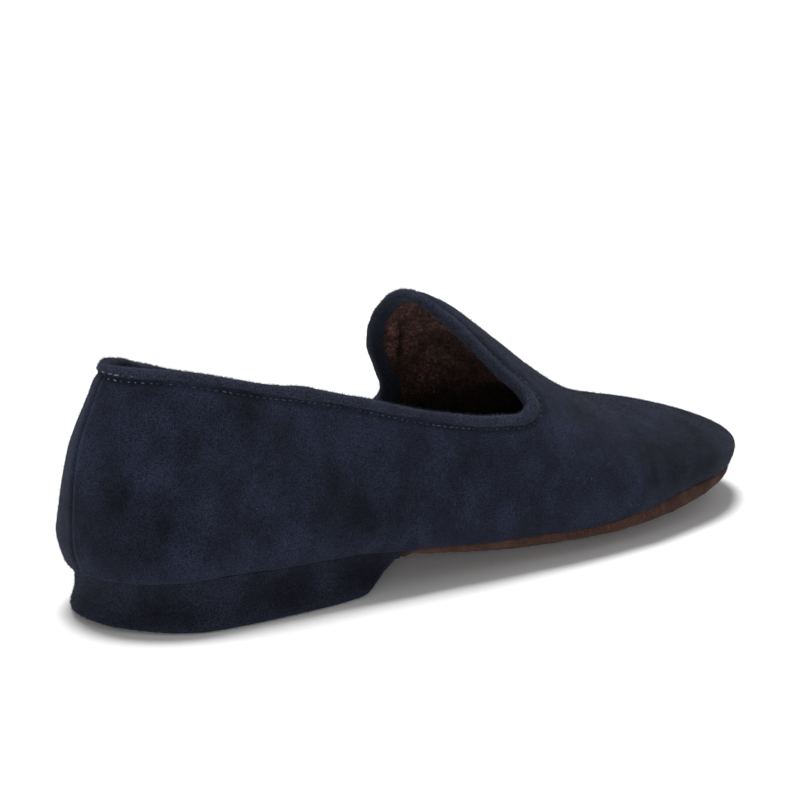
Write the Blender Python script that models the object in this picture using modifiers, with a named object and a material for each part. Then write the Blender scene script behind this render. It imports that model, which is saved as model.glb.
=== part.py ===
"""Suede house slipper, right foot: hollow upper on a last, rolled binding, soft sole, covered heel.

Sizes are in millimetres from the back of the heel (x forward, y to the wearer's left, z up).
They are turned into metres when a mesh is made.
"""
from collections import namedtuple

import bmesh
import bpy
import numpy as np

# Driving sizes
MM = 0.001
LENGTH = 288.0
WALL = 2.6
GAP = 0.3
EDGE_GAP = 0.6
BINDING_WIDTH = 4.0
BINDING_THICKNESS = 4.0
BINDING_ROUND = 0.8
SOLE_THICKNESS = 3.4
INSOLE_THICKNESS = 2.4
INSOLE_INSET = 2.4
TOP_PIECE = 2.0

# Sections of the last. along is a share of the length, the rest are millimetres.
# half and centre place the widest line, rise is the lower edge, swell the height of the widest
# line over it, tuck how far the lower edge turns in, crest and ridge the height and side position
# of the top line, round and lean the roundness of the section sideways and upwards.
Section = namedtuple("Section", "along half centre rise swell tuck crest ridge round lean")
LAST = [
    Section(0.00, 33.5, 0.0, 17.5, 10.5, 5.0, 104.0, 0.0, 2.0, 1.70),
    Section(0.12, 34.5, -0.5, 17.1, 9.2, 5.0, 104.0, 0.0, 2.0, 1.70),
    Section(0.18, 35.0, -1.3, 16.3, 9.3, 5.0, 104.0, 0.0, 2.0, 1.70),
    Section(0.25, 35.5, -2.5, 16.2, 8.8, 5.0, 104.0, 0.0, 2.0, 1.70),
    Section(0.30, 35.8, -3.8, 16.0, 8.6, 5.0, 103.0, 0.0, 2.0, 1.70),
    Section(0.36, 36.5, -5.0, 14.9, 9.1, 5.0, 101.0, 0.0, 2.0, 1.70),
    Section(0.47, 40.5, -4.5, 12.2, 10.3, 5.0, 94.0, -2.2, 2.0, 1.70),
    Section(0.53, 43.5, -3.0, 10.9, 11.1, 5.0, 87.5, 0.4, 2.0, 1.75),
    Section(0.58, 46.5, -1.5, 10.3, 11.5, 5.0, 76.5, 1.5, 2.0, 1.80),
    Section(0.63, 48.0, -0.5, 9.7, 11.7, 4.5, 64.9, 2.0, 2.0, 1.85),
    Section(0.68, 49.0, 0.5, 9.6, 11.4, 4.5, 54.8, 2.5, 2.0, 1.90),
    Section(0.735, 49.0, 1.6, 11.0, 9.5, 4.5, 46.8, 3.2, 2.0, 1.95),
    Section(0.79, 48.5, 2.8, 12.9, 7.7, 4.0, 41.4, 4.0, 2.1, 2.00),
    Section(0.84, 48.4, 3.6, 13.6, 7.0, 3.7, 38.0, 4.6, 2.15, 2.05),
    Section(0.89, 48.2, 4.2, 13.7, 6.7, 3.5, 35.5, 5.0, 2.2, 2.10),
    Section(1.00, 47.0, 5.5, 13.8, 4.9, 3.0, 28.0, 5.5, 2.2, 2.20),
]

# Ends of the last: how far along the heel and the toe curve in, and how round they are.
# The heel changes to the counter's values over COUNTER_RISE above its widest line.
HEEL_END = 0.115
HEEL_POWER = 2.05
COUNTER_END = 0.21
COUNTER_POWER = 1.95
COUNTER_RISE = 40.0
TOE_END = 0.28
TOE_POWER_IN = 2.4
TOE_POWER_OUT = 2.2
NOSE_POWER = 0.9

# The back leans forward above LEAN_FROM, and its lower edge turns in
LEAN = 15.5
LEAN_FROM = 36.0
LEAN_RISE = 50.0
LEAN_POWER = 1.9
BACK_TUCK = 5.0
BACK_SPAN = 0.30
TOE_TUCK = 4.0
TOE_SPAN = 0.20
END_FADE = 1.5

# Share of a half section below its widest line
V_SWELL = 0.25

# Side view of the opening's edge, from the back to the tip of the tongue, on the wearer's right.
# The left side is set back and set down by the last two columns.
Edge = namedtuple("Edge", "along height set_back set_down")
TOPLINE = [
    Edge(0.0, 85.8, 0.0, 0.0),
    Edge(20.0, 84.4, 0.0, 1.8),
    Edge(38.0, 81.3, 0.0, 3.7),
    Edge(57.0, 77.3, 0.0, 5.2),
    Edge(75.0, 73.8, 0.0, 6.5),
    Edge(95.0, 68.2, 1.0, 7.0),
    Edge(115.0, 61.8, 2.0, 6.6),
    Edge(131.0, 57.9, 4.0, 7.1),
    Edge(147.0, 55.1, 6.0, 8.8),
    Edge(157.5, 54.5, 7.5, 9.5),
    Edge(162.0, 56.5, 8.5, 9.0),
    Edge(160.5, 61.0, 10.3, 7.0),
    Edge(155.5, 66.5, 10.5, 5.5),
    Edge(150.5, 72.5, 10.3, 4.8),
    Edge(145.5, 80.0, 8.4, 4.8),
    Edge(140.8, 86.5, 4.6, 6.0),
    Edge(137.6, 91.0, 1.3, 4.2),
    Edge(136.4, 93.1, 0.0, 0.0),
]

# Soft sole: spread beyond the upper's lower edge in front of the heel, how far its middle hangs below
# its edge, and how thick its edge is
Sole = namedtuple("Sole", "along spread drop edge")
SOLE = [
    Sole(0.00, 0.2, 0.0, 2.6),
    Sole(0.20, 0.2, 0.0, 2.6),
    Sole(0.34, 0.2, 0.0, 2.6),
    Sole(0.371, 0.2, 0.0, 2.4),
    Sole(0.381, 0.2, 0.3, 1.5),
    Sole(0.40, 0.6, 1.2, 1.5),
    Sole(0.47, 0.6, 3.5, 1.9),
    Sole(0.53, 0.6, 5.2, 2.0),
    Sole(0.58, 0.6, 6.5, 2.1),
    Sole(0.63, 0.6, 6.7, 2.4),
    Sole(0.68, 0.6, 6.8, 3.2),
    Sole(0.735, 0.6, 7.5, 4.4),
    Sole(0.79, 0.6, 8.7, 5.4),
    Sole(0.84, 0.6, 7.6, 4.6),
    Sole(0.89, 0.6, 5.8, 3.2),
    Sole(0.95, 0.5, 2.6, 2.0),
    Sole(1.00, 0.3, 0.0, 1.2),
]
# Inside the heel's rim, as far forward as SEAT_END, the sole is drawn in
SEAT_SPREAD = -3.6
SEAT_END = 0.3733
SEAT_STEP = 0.0004
DISH_POWER = 3.0
WAIST_BACK = 0.34
WAIST_FRONT = 0.41
EDGE_ABOVE = 0.3
EDGE_POWER = 4
TIP_SPAN = 0.10

# Heel block: spread beyond the upper's lower edge at shares of its height, top to bottom
Flare = namedtuple("Flare", "height spread")
HEEL_FLARE = [
    Flare(1.00, 0.4),
    Flare(0.88, 0.0),
    Flare(0.70, -0.3),
    Flare(0.48, -0.1),
    Flare(0.30, 0.7),
    Flare(0.14, 1.5),
    Flare(0.04, 1.6),
    Flare(0.00, 0.9),
]

# The foot's own plan: spread added to the flare, in full at the floor and fading upwards
Foot = namedtuple("Foot", "along spread")
FOOT = [
    Foot(0.00, 0.0),
    Foot(0.03, -0.7),
    Foot(0.06, 0.6),
    Foot(0.09, 2.3),
    Foot(0.14, 3.5),
    Foot(0.21, 3.2),
    Foot(0.25, 2.5),
    Foot(0.285, 1.2),
    Foot(0.32, -1.2),
    Foot(0.38, -2.0),
]
FOOT_POWER = 1.6
BREAST_TOP = 107.0
BREAST_BOTTOM = 92.0
BREAST_BOW = 0.9
RIM_WIDTH = 2.4
HEEL_ROLL = 2.0
HEEL_ROLL_SPAN = 26.0

# The cover turns in under the heel around the top piece, a little above the floor
COVER_CLEAR = 0.4
COVER_TURN = 2.6
TOP_PIECE_BEVEL = 0.5

# Mesh density
EDGE_SAMPLES = 400
UNDER_ROWS = 4
OVER_ROWS = 7
ROOF_ROWS = 6
BINDING_STATIONS = 120
BINDING_SIDES = 10
HEEL_STATIONS = 22
INSOLE_STATIONS = 36
SOLE_BACK_STATIONS = 8
SOLE_SEAT_STATIONS = 7
SOLE_WAIST_STATIONS = 8
SOLE_FRONT_STATIONS = 22
COLLAR_STATIONS = 13
TONGUE_STATIONS = 10
THROAT_STATIONS = 6
TOE_STATIONS = 15

# Small step for slopes, and the distance within which points are welded, in metres
SMALL = 1e-4
WELD = 2e-6

COLOURS = {
    "navy_suede": ((0.017, 0.019, 0.032, 1.0), 0.95),
    "binding_suede": ((0.023, 0.026, 0.044, 1.0), 0.9),
    "brown_suede": ((0.060, 0.030, 0.023, 1.0), 0.95),
    "brown_pile": ((0.035, 0.018, 0.014, 1.0), 1.0),
}


def smooth(xs, ys, at):
    """Value of a smooth curve through the points (xs, ys)."""
    xs = np.asarray(xs, float)
    ys = np.asarray(ys, float)
    step = np.diff(xs)
    slope = np.diff(ys) / step
    tangent = np.concatenate([[slope[0]], np.zeros(len(xs) - 2), [slope[-1]]])
    tangent[1:-1] = (slope[:-1] * step[1:] + slope[1:] * step[:-1]) / (step[:-1] + step[1:])
    i = np.clip(np.searchsorted(xs, at, side="right") - 1, 0, len(step) - 1)
    t = (at - xs[i]) / step[i]
    start = (1 + 2 * t) * (1 - t) ** 2 * ys[i] + t * (1 - t) ** 2 * step[i] * tangent[i]
    end = t * t * (3 - 2 * t) * ys[i + 1] + t * t * (t - 1) * step[i] * tangent[i + 1]
    return start + end


def column(table, name, u):
    """One named column of a table, smoothed along the length."""
    return smooth([row.along for row in table], [getattr(row, name) for row in table], u)


def heel_round(u, above):
    """Share of the half width near the back of the heel, at a height above its widest line."""
    share = np.clip(above / COUNTER_RISE, 0, 1)
    end = HEEL_END + (COUNTER_END - HEEL_END) * share
    power = HEEL_POWER + (COUNTER_POWER - HEEL_POWER) * share
    s = np.clip(1 - u / end, 0, 1)
    return (1 - s ** power) ** (1 / power)


def toe_round(u):
    """Share of the half width near the toe."""
    s = np.clip((u - 1 + TOE_END) / TOE_END, 0, 1)
    return (1 - s ** TOE_POWER_IN) ** (1 / TOE_POWER_OUT)


def section_heights(u):
    """Height of the widest line and of the top of a section."""
    wide = column(LAST, "rise", u) + column(LAST, "swell", u)
    top = wide + (column(LAST, "crest", u) - wide) * toe_round(u) ** NOSE_POWER
    return wide, top


def last_point(u, side, v):
    """Point on the upper's outside: v is 0 at the lower edge and 1 on the top line."""
    u, v = np.broadcast_arrays(np.asarray(u, float), np.asarray(v, float))
    wide, top = section_heights(u)
    low = v < V_SWELL
    under = np.where(low, v / V_SWELL, 1) * np.pi / 2
    over = np.where(low, 0, (v - V_SWELL) / (1 - V_SWELL)) * np.pi / 2
    turn = np.where(low, 1 - np.sin(under), 0)
    dome = wide + (top - wide) * np.sin(over) ** (2 / column(LAST, "lean", u))
    z = np.where(low, wide - column(LAST, "swell", u) * np.cos(under), dome)
    width = (column(LAST, "half", u) - column(LAST, "tuck", u) * turn)
    width = width * heel_round(u, z - wide) * toe_round(u)
    y = width * np.cos(over) ** (2 / column(LAST, "round", u))
    lean = LEAN * (np.maximum(z - LEAN_FROM, 0) / LEAN_RISE) ** LEAN_POWER + BACK_TUCK * turn
    x = u * LENGTH + lean * np.clip(1 - u / BACK_SPAN, 0, 1) ** END_FADE
    x = x - TOE_TUCK * turn * np.clip((u - 1 + TOE_SPAN) / TOE_SPAN, 0, 1) ** END_FADE
    centre = column(LAST, "centre", u)
    axis = centre + (column(LAST, "ridge", u) - centre) * np.sin(over) ** 2
    return np.stack([x, axis + side * y, z], -1)


def share_at_height(u, z):
    """The v at which a section reaches a height above its widest line."""
    wide, top = section_heights(u)
    s = np.clip((z - wide) / (top - wide), 0, 1) ** (column(LAST, "lean", u) / 2)
    return V_SWELL + (1 - V_SWELL) * np.arcsin(s) / (np.pi / 2)


def opening_edge(side):
    """The opening's edge on one side as u and v, from the back seam to the tip of the tongue."""
    along = np.array([row.along - (row.set_back if side > 0 else 0) for row in TOPLINE])
    height = np.array([row.height - (row.set_down if side > 0 else 0) for row in TOPLINE])
    chord = np.sqrt(np.hypot(np.diff(along), np.diff(height)))
    knots = np.concatenate([[0], np.cumsum(chord)])
    at = np.linspace(0, knots[-1], EDGE_SAMPLES)
    u = smooth(knots, along, at) / LENGTH
    v = share_at_height(u, smooth(knots, height, at))
    v[-1] = 1.0
    return u, v


def inset_edge(side, inset):
    """The opening's edge moved down the surface by a distance."""
    u, v = opening_edge(side)
    if inset == 0:
        return u, v
    here = last_point(u, side, v)
    back_u = np.maximum(u - SMALL, 0)
    ahead_u = u + SMALL
    by_u = (last_point(ahead_u, side, v) - last_point(back_u, side, v)) / (ahead_u - back_u)[:, None]
    by_v = (here - last_point(u, side, v - SMALL)) / SMALL
    normal = np.cross(by_u, by_v)
    along = np.gradient(here, axis=0)
    away = np.cross(along, normal)
    away = away / np.linalg.norm(away, axis=1)[:, None] * inset
    uu = (by_u * by_u).sum(1)
    uv = (by_u * by_v).sum(1)
    vv = (by_v * by_v).sum(1)
    du = (by_u * away).sum(1)
    dv = (by_v * away).sum(1)
    det = uu * vv - uv * uv
    step_u = (du * vv - dv * uv) / det
    step_v = (dv * uu - du * uv) / det
    step_u[0] = 0
    step_v[0] = -inset / np.sqrt(vv[0])
    step_v[-1] = 0
    return u + step_u, np.minimum(v + step_v, 1.0)


def spaced(start, end, count, first=True, last=True):
    """Values from start to end, closer together at the chosen ends."""
    t = np.linspace(0, 1, count + 1)
    if first and last:
        t = (1 - np.cos(np.pi * t)) / 2
    elif first:
        t = 1 - np.cos(np.pi * t / 2)
    elif last:
        t = np.sin(np.pi * t / 2)
    return start + (end - start) * t


def new_object(name, mesh, material, root):
    """Put a mesh in the model, under the root, with its material."""
    obj = bpy.data.objects.new(name, mesh)
    mesh.materials.append(material)
    mesh.shade_smooth()
    bpy.data.collections["slipper"].objects.link(obj)
    obj.parent = root
    return obj


def mesh_from_grids(name, grids, closed=True):
    """One welded mesh from grids of points, each an array of rows by columns."""
    bm = bmesh.new()
    for grid in grids:
        verts = [[bm.verts.new(point * MM) for point in row] for row in grid]
        for lower, upper in zip(verts[:-1], verts[1:]):
            for i in range(len(lower) - 1):
                bm.faces.new((lower[i], lower[i + 1], upper[i + 1], upper[i]))
    bmesh.ops.remove_doubles(bm, verts=bm.verts, dist=WELD)
    bmesh.ops.dissolve_degenerate(bm, edges=bm.edges, dist=WELD / 2)
    if closed:
        bmesh.ops.recalc_face_normals(bm, faces=bm.faces)
        if bm.calc_volume(signed=True) < 0:
            bmesh.ops.reverse_faces(bm, faces=bm.faces)
    mesh = bpy.data.meshes.new(name)
    bm.to_mesh(mesh)
    bm.free()
    return mesh


def wall_rows(top):
    """Values of v from the lower edge to a top value."""
    under = V_SWELL * np.linspace(0, 1, UNDER_ROWS)
    over = V_SWELL + (top - V_SWELL) * np.linspace(0, 1, OVER_ROWS)
    return np.concatenate([under[:-1], over])


def upper_stations(corners, tip):
    """Stations along the upper, close together at the ends, the throat corners and the tongue's tip."""
    near, far = max(corners), min(corners)
    runs = [
        spaced(0.0, tip, COLLAR_STATIONS, last=False),
        spaced(tip, far, TONGUE_STATIONS),
        spaced(far, near, THROAT_STATIONS),
        spaced(near, 1.0, TOE_STATIONS),
    ]
    return np.concatenate([runs[0]] + [run[1:] for run in runs[1:]])


def tongue_rows(u, v, ridge):
    """Rows of u and v from the tongue's edge, given from tip to corner, up to stations on the ridge."""
    at = np.linspace(0, len(u) - 1, len(ridge))
    edge_u = np.interp(at, np.arange(len(u)), u)
    edge_v = np.interp(at, np.arange(len(u)), v)
    share = np.linspace(0, 1, ROOF_ROWS)
    return [(a + (r - a) * share, b + (1 - b) * share) for a, b, r in zip(edge_u, edge_v, ridge)]


def upper_grids():
    """Grids of the upper's outside on each side: the wall, the tongue and the roof over the toes."""
    edges = {side: inset_edge(side, BINDING_WIDTH + EDGE_GAP) for side in (-1, 1)}
    corner = {side: int(np.argmax(edges[side][0])) for side in edges}
    tip = edges[-1][0][-1]
    stations = upper_stations([edges[side][0][corner[side]] for side in edges], tip)
    grids = []
    for side, (u, v) in edges.items():
        k = corner[side]
        ridge = stations[(stations >= tip) & (stations <= u[k])]
        front = stations[stations >= u[k]]
        collar = np.interp(stations, u[:k + 1], v[:k + 1])
        wall = [last_point(s, side, wall_rows(c)) for s, c in zip(stations, collar)]
        tongue = [last_point(a, side, b) for a, b in tongue_rows(u[k:][::-1], v[k:][::-1], ridge)]
        roof = [last_point(s, side, np.linspace(v[k], 1, ROOF_ROWS)) for s in front]
        for grid in (np.stack(wall), np.stack(tongue), np.stack(roof)):
            grids.append(grid if side > 0 else grid[:, ::-1])
    return grids


def make_upper(material, root):
    """Hollow upper: an open surface with a wall inside it."""
    obj = new_object("upper", mesh_from_grids("upper", upper_grids(), closed=False), material, root)
    solidify = obj.modifiers.new("wall", "SOLIDIFY")
    solidify.thickness = WALL * MM
    solidify.offset = -1.0
    solidify.use_even_offset = True
    solidify.use_quality_normals = True
    return obj


def binding_path(inset):
    """Points all round the opening at one inset: right side to the tip, then back on the left."""
    halves = []
    for side in (-1, 1):
        u, v = inset_edge(side, inset)
        halves.append(last_point(u, side, v))
    return np.concatenate([halves[0], halves[1][::-1][1:-1]])


def make_binding(material, root):
    """Rolled strip around the opening, thicker than the wall and rounded."""
    rim = binding_path(0)
    foot = binding_path(BINDING_WIDTH)
    middle = (rim + foot) / 2
    steps = np.linalg.norm(np.diff(np.concatenate([middle, middle[:1]]), axis=0), axis=1)
    travel = np.concatenate([[0], np.cumsum(steps)])
    wanted = np.linspace(0, travel[-1], BINDING_STATIONS + 1)[:-1]
    picks = np.searchsorted(travel[:-1], wanted, side="right") - 1
    down = foot - rim
    down = down / np.linalg.norm(down, axis=1)[:, None]
    along = np.roll(middle, -2, axis=0) - np.roll(middle, 2, axis=0)
    out = np.cross(down, along)
    out = out / np.linalg.norm(out, axis=1)[:, None]
    centre = middle - out * WALL / 2
    turn = np.linspace(0, 2 * np.pi, BINDING_SIDES + 1)
    high = np.sign(np.cos(turn)) * np.abs(np.cos(turn)) ** BINDING_ROUND * BINDING_WIDTH / 2
    wide = np.sign(np.sin(turn)) * np.abs(np.sin(turn)) ** BINDING_ROUND * BINDING_THICKNESS / 2
    rings = [centre[i] - down[i] * high[:, None] + out[i] * wide[:, None] for i in picks]
    grid = np.stack(rings + rings[:1])
    return new_object("topline_binding", mesh_from_grids("topline_binding", [grid]), material, root)


def plan(u, side, spread):
    """Plan of the upper's lower edge, moved outwards by a distance."""
    ahead = last_point(np.minimum(u + SMALL, 1), side, 0.0)[..., :2]
    behind = last_point(np.maximum(u - SMALL, 0), side, 0.0)[..., :2]
    way = ahead - behind
    way = way / np.linalg.norm(way, axis=-1)[..., None]
    outward = np.stack([-way[..., 1], way[..., 0]], -1) * side
    moved = last_point(u, side, 0.0)[..., :2] + outward * np.asarray(spread)[..., None]
    axis = column(LAST, "centre", u)
    at_end = (u <= 0) | (u >= 1) | ((moved[..., 1] - axis) * side < 0)
    moved[..., 1] = np.where(at_end, axis, moved[..., 1])
    return moved


def sole_edge_top(u):
    """Height of the sole's upper edge, just under the upper."""
    return column(LAST, "rise", u) - GAP


def sole_spread(u):
    """Spread of the sole beyond the upper's lower edge, drawn in where it lies inside the heel's rim."""
    return np.where(u < SEAT_END, SEAT_SPREAD, column(SOLE, "spread", u))


def dished(u, share):
    """How far the soft sole hangs below its edge at a share of its half width."""
    return column(SOLE, "drop", u) * (1 - np.abs(share) ** DISH_POWER)


def plate_grid(stations, spread, top, bottom, shares):
    """Closed tube of sections across a plate, shrinking to a line at the back and the toe."""
    right = plan(stations, -1, spread)
    left = plan(stations, 1, spread)
    rows = []
    for i, u in enumerate(stations):
        across = right[i] + (left[i] - right[i]) * (shares[:, None] + 1) / 2
        over = np.column_stack([across, top(u, shares)])
        under = np.column_stack([across, bottom(u, shares)])
        rows.append(np.concatenate([over, under[::-1], over[:1]]))
    return np.stack(rows)


def near_edge(u, share):
    """How close a place on the sole is to its edge: 1 at the sides and the tip, 0 in the middle."""
    tip = np.clip((u - 1 + TIP_SPAN) / TIP_SPAN, 0, 1) ** 2
    return 1 - (1 - np.abs(share) ** EDGE_POWER) * (1 - tip)


def make_outsole(material, root):
    """Soft sole: dished plate with turned-up edges, flat where the ball of the foot rests."""
    shares = np.array([-1.0, -0.94, -0.82, -0.66, -0.45, 0.0, 0.45, 0.66, 0.82, 0.94, 1.0])
    back = spaced(0, WAIST_BACK, SOLE_BACK_STATIONS, last=False)
    seat = np.linspace(WAIST_BACK, SEAT_END - SEAT_STEP, SOLE_SEAT_STATIONS)
    waist = np.linspace(SEAT_END + SEAT_STEP, WAIST_FRONT, SOLE_WAIST_STATIONS)
    front = spaced(WAIST_FRONT, 1, SOLE_FRONT_STATIONS, first=False)
    stations = np.concatenate([back, seat[1:], waist, front[1:]])

    def top(u, t):
        return sole_edge_top(u) - dished(u, t) - EDGE_ABOVE * near_edge(u, t)

    def bottom(u, t):
        thinner = (SOLE_THICKNESS - column(SOLE, "edge", u)) * near_edge(u, t)
        return np.maximum(top(u, t) - SOLE_THICKNESS + thinner, 0.0)

    grid = plate_grid(stations, sole_spread(stations), top, bottom, shares)
    return new_object("outsole", mesh_from_grids("outsole", [grid]), material, root)


def make_insole(material, root):
    """Footbed lying on the sole, inside the upper's lower edge."""
    shares = np.array([-1.0, -0.8, -0.5, 0.0, 0.5, 0.8, 1.0])
    stations = spaced(0, 1, INSOLE_STATIONS)
    inset = np.full_like(stations, -INSOLE_INSET)

    def bottom(u, t):
        return sole_edge_top(u) - dished(u, t) + GAP

    def top(u, t):
        return bottom(u, t) + INSOLE_THICKNESS

    grid = plate_grid(stations, inset, top, bottom, shares)
    return new_object("insole", mesh_from_grids("insole", [grid]), material, root)


def floor_roll(x):
    """How far the underside of the heel curves up at the back."""
    return HEEL_ROLL * np.clip(1 - x / HEEL_ROLL_SPAN, 0, 1) ** 2


def heel_ring(reach, spread, height, foot=0.0):
    """One outline of the heel, with a share of the foot's plan: right side forwards, then left side back."""
    ring = []
    for side in (-1, 1):
        u = spaced(0, reach, HEEL_STATIONS, last=False)
        xy = plan(u, side, spread + foot * column(FOOT, "spread", u))
        z = height(u, xy[:, 0])
        points = np.column_stack([xy, z])
        ring.append(points if side < 0 else points[::-1])
    return np.concatenate(ring)


def breast_reach(share):
    """How far forward the heel reaches at a share of its height, as u."""
    return (BREAST_BOTTOM + (BREAST_TOP - BREAST_BOTTOM) * share ** BREAST_BOW) / LENGTH


def cover_reach():
    """How far forward the top piece's recess reaches, as u."""
    return breast_reach(0.0) - COVER_TURN / LENGTH


def cap_grid(ring):
    """Strip of faces across a ring, between its right and left sides."""
    half = len(ring) // 2
    return np.stack([ring[:half], ring[half:][::-1]], 1)


def make_heel(material, root):
    """Covered heel block: waisted, flared at the foot, with a rim round the sole's edge."""
    seat_drop = SOLE_THICKNESS + GAP

    def rim_height(u, x):
        return sole_edge_top(u)

    def seat_height(u, x):
        return sole_edge_top(u) - seat_drop

    def foot_height(u, x):
        return COVER_CLEAR + floor_roll(x)

    def recess_height(u, x):
        return TOP_PIECE + GAP + floor_roll(x)

    def level(share):
        def height(u, x):
            return foot_height(u, x) + (rim_height(u, x) - foot_height(u, x)) * share
        return height

    inner = HEEL_FLARE[0].spread - RIM_WIDTH
    turned = HEEL_FLARE[-1].spread - COVER_TURN
    rings = [heel_ring(breast_reach(1.0), inner, seat_height), heel_ring(breast_reach(1.0), inner, rim_height)]
    for flare in HEEL_FLARE:
        share = flare.height
        rings.append(heel_ring(breast_reach(share), flare.spread, level(share), (1 - share) ** FOOT_POWER))
    rings.append(heel_ring(cover_reach(), turned, foot_height, 1.0))
    rings.append(heel_ring(cover_reach(), turned, recess_height, 1.0))
    side_grid = np.stack([np.concatenate([ring, ring[:1]]) for ring in rings])
    grids = [side_grid, cap_grid(rings[0]), cap_grid(rings[-1])]
    return new_object("heel", mesh_from_grids("heel", grids), material, root)


def make_top_piece(material, root):
    """Thin layer under the heel that stands on the floor, inside the cover's turned edge."""
    reach = cover_reach() - GAP / LENGTH
    spread = HEEL_FLARE[-1].spread - COVER_TURN - GAP
    rings = [
        heel_ring(reach, spread, lambda u, x: TOP_PIECE + floor_roll(x), 1.0),
        heel_ring(reach, spread, lambda u, x: TOP_PIECE_BEVEL + floor_roll(x), 1.0),
        heel_ring(reach, spread - TOP_PIECE_BEVEL, lambda u, x: floor_roll(x), 1.0),
    ]
    side_grid = np.stack([np.concatenate([ring, ring[:1]]) for ring in rings])
    grids = [side_grid, cap_grid(rings[0]), cap_grid(rings[-1])]
    return new_object("heel_top_piece", mesh_from_grids("heel_top_piece", grids), material, root)


def make_material(name):
    """Plain material with the part's colour and roughness."""
    colour, roughness = COLOURS[name]
    material = bpy.data.materials.new(name)
    material.use_nodes = True
    shader = material.node_tree.nodes["Principled BSDF"]
    shader.inputs["Base Color"].default_value = colour
    shader.inputs["Roughness"].default_value = roughness
    shader.inputs["Metallic"].default_value = 0.0
    return material


def centre_on_floor(root, parts):
    """Move the root so that the box round the parts is centred over the origin, on the floor."""
    points = np.array([vertex.co for part in parts for vertex in part.data.vertices])
    low, high = points.min(0), points.max(0)
    root.location = (-(low[0] + high[0]) / 2, -(low[1] + high[1]) / 2, -low[2])


def main():
    for obj in list(bpy.data.objects):
        bpy.data.objects.remove(obj)
    collection = bpy.data.collections.new("slipper")
    bpy.context.scene.collection.children.link(collection)
    root = bpy.data.objects.new("slipper_root", None)
    collection.objects.link(root)
    materials = {name: make_material(name) for name in COLOURS}
    parts = [
        make_upper(materials["navy_suede"], root),
        make_binding(materials["binding_suede"], root),
        make_outsole(materials["brown_suede"], root),
        make_heel(materials["navy_suede"], root),
        make_top_piece(materials["brown_suede"], root),
        make_insole(materials["brown_pile"], root),
    ]
    centre_on_floor(root, parts)


main()
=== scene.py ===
"""Looks of the suede house slipper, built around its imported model.

Sizes are in millimetres from the back of the heel (x forward, y to the wearer's left, z up), as in the
part's own source. They are moved into the frame and turned into metres when a mesh is made.
"""
import math
from collections import namedtuple

import bpy
import numpy as np
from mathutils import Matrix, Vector
from mathutils.kdtree import KDTree


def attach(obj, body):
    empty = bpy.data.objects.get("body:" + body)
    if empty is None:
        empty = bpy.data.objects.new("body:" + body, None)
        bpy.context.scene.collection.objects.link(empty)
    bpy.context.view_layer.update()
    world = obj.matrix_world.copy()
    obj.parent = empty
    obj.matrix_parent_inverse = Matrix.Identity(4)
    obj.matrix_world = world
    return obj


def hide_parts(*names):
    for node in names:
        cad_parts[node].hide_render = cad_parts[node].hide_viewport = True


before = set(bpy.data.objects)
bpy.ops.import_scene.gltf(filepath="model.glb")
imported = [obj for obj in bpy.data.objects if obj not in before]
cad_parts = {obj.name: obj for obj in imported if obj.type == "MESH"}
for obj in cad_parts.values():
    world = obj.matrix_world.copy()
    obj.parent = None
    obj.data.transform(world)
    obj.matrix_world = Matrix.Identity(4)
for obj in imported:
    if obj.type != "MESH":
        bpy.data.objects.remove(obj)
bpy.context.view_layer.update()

# Driving sizes
MM = 0.001
LENGTH = 288.0
WALL = 2.6
GAP = 0.3
BINDING_WIDTH = 4.0
BINDING_THICKNESS = 4.0
BINDING_ROUND = 0.8
SOLE_THICKNESS = 3.4
INSOLE_THICKNESS = 2.4
TOP_PIECE = 2.0

# Sections of the last. along is a share of the length, the rest are millimetres.
# half and centre place the widest line, rise is the lower edge, swell the height of the widest
# line over it, tuck how far the lower edge turns in, crest and ridge the height and side position
# of the top line, round and lean the roundness of the section sideways and upwards.
Section = namedtuple("Section", "along half centre rise swell tuck crest ridge round lean")
LAST = [
    Section(0.00, 33.5, 0.0, 17.5, 10.5, 5.0, 104.0, 0.0, 2.0, 1.70),
    Section(0.12, 34.5, -0.5, 17.1, 9.2, 5.0, 104.0, 0.0, 2.0, 1.70),
    Section(0.18, 35.0, -1.3, 16.3, 9.3, 5.0, 104.0, 0.0, 2.0, 1.70),
    Section(0.25, 35.5, -2.5, 16.2, 8.8, 5.0, 104.0, 0.0, 2.0, 1.70),
    Section(0.30, 35.8, -3.8, 16.0, 8.6, 5.0, 103.0, 0.0, 2.0, 1.70),
    Section(0.36, 36.5, -5.0, 14.9, 9.1, 5.0, 101.0, 0.0, 2.0, 1.70),
    Section(0.47, 40.5, -4.5, 12.2, 10.3, 5.0, 94.0, -2.2, 2.0, 1.70),
    Section(0.53, 43.5, -3.0, 10.9, 11.1, 5.0, 87.5, 0.4, 2.0, 1.75),
    Section(0.58, 46.5, -1.5, 10.3, 11.5, 5.0, 76.5, 1.5, 2.0, 1.80),
    Section(0.63, 48.0, -0.5, 9.7, 11.7, 4.5, 64.9, 2.0, 2.0, 1.85),
    Section(0.68, 49.0, 0.5, 9.6, 11.4, 4.5, 54.8, 2.5, 2.0, 1.90),
    Section(0.735, 49.0, 1.6, 11.0, 9.5, 4.5, 46.8, 3.2, 2.0, 1.95),
    Section(0.79, 48.5, 2.8, 12.9, 7.7, 4.0, 41.4, 4.0, 2.1, 2.00),
    Section(0.84, 48.4, 3.6, 13.6, 7.0, 3.7, 38.0, 4.6, 2.15, 2.05),
    Section(0.89, 48.2, 4.2, 13.7, 6.7, 3.5, 35.5, 5.0, 2.2, 2.10),
    Section(1.00, 47.0, 5.5, 13.8, 4.9, 3.0, 28.0, 5.5, 2.2, 2.20),
]

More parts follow.
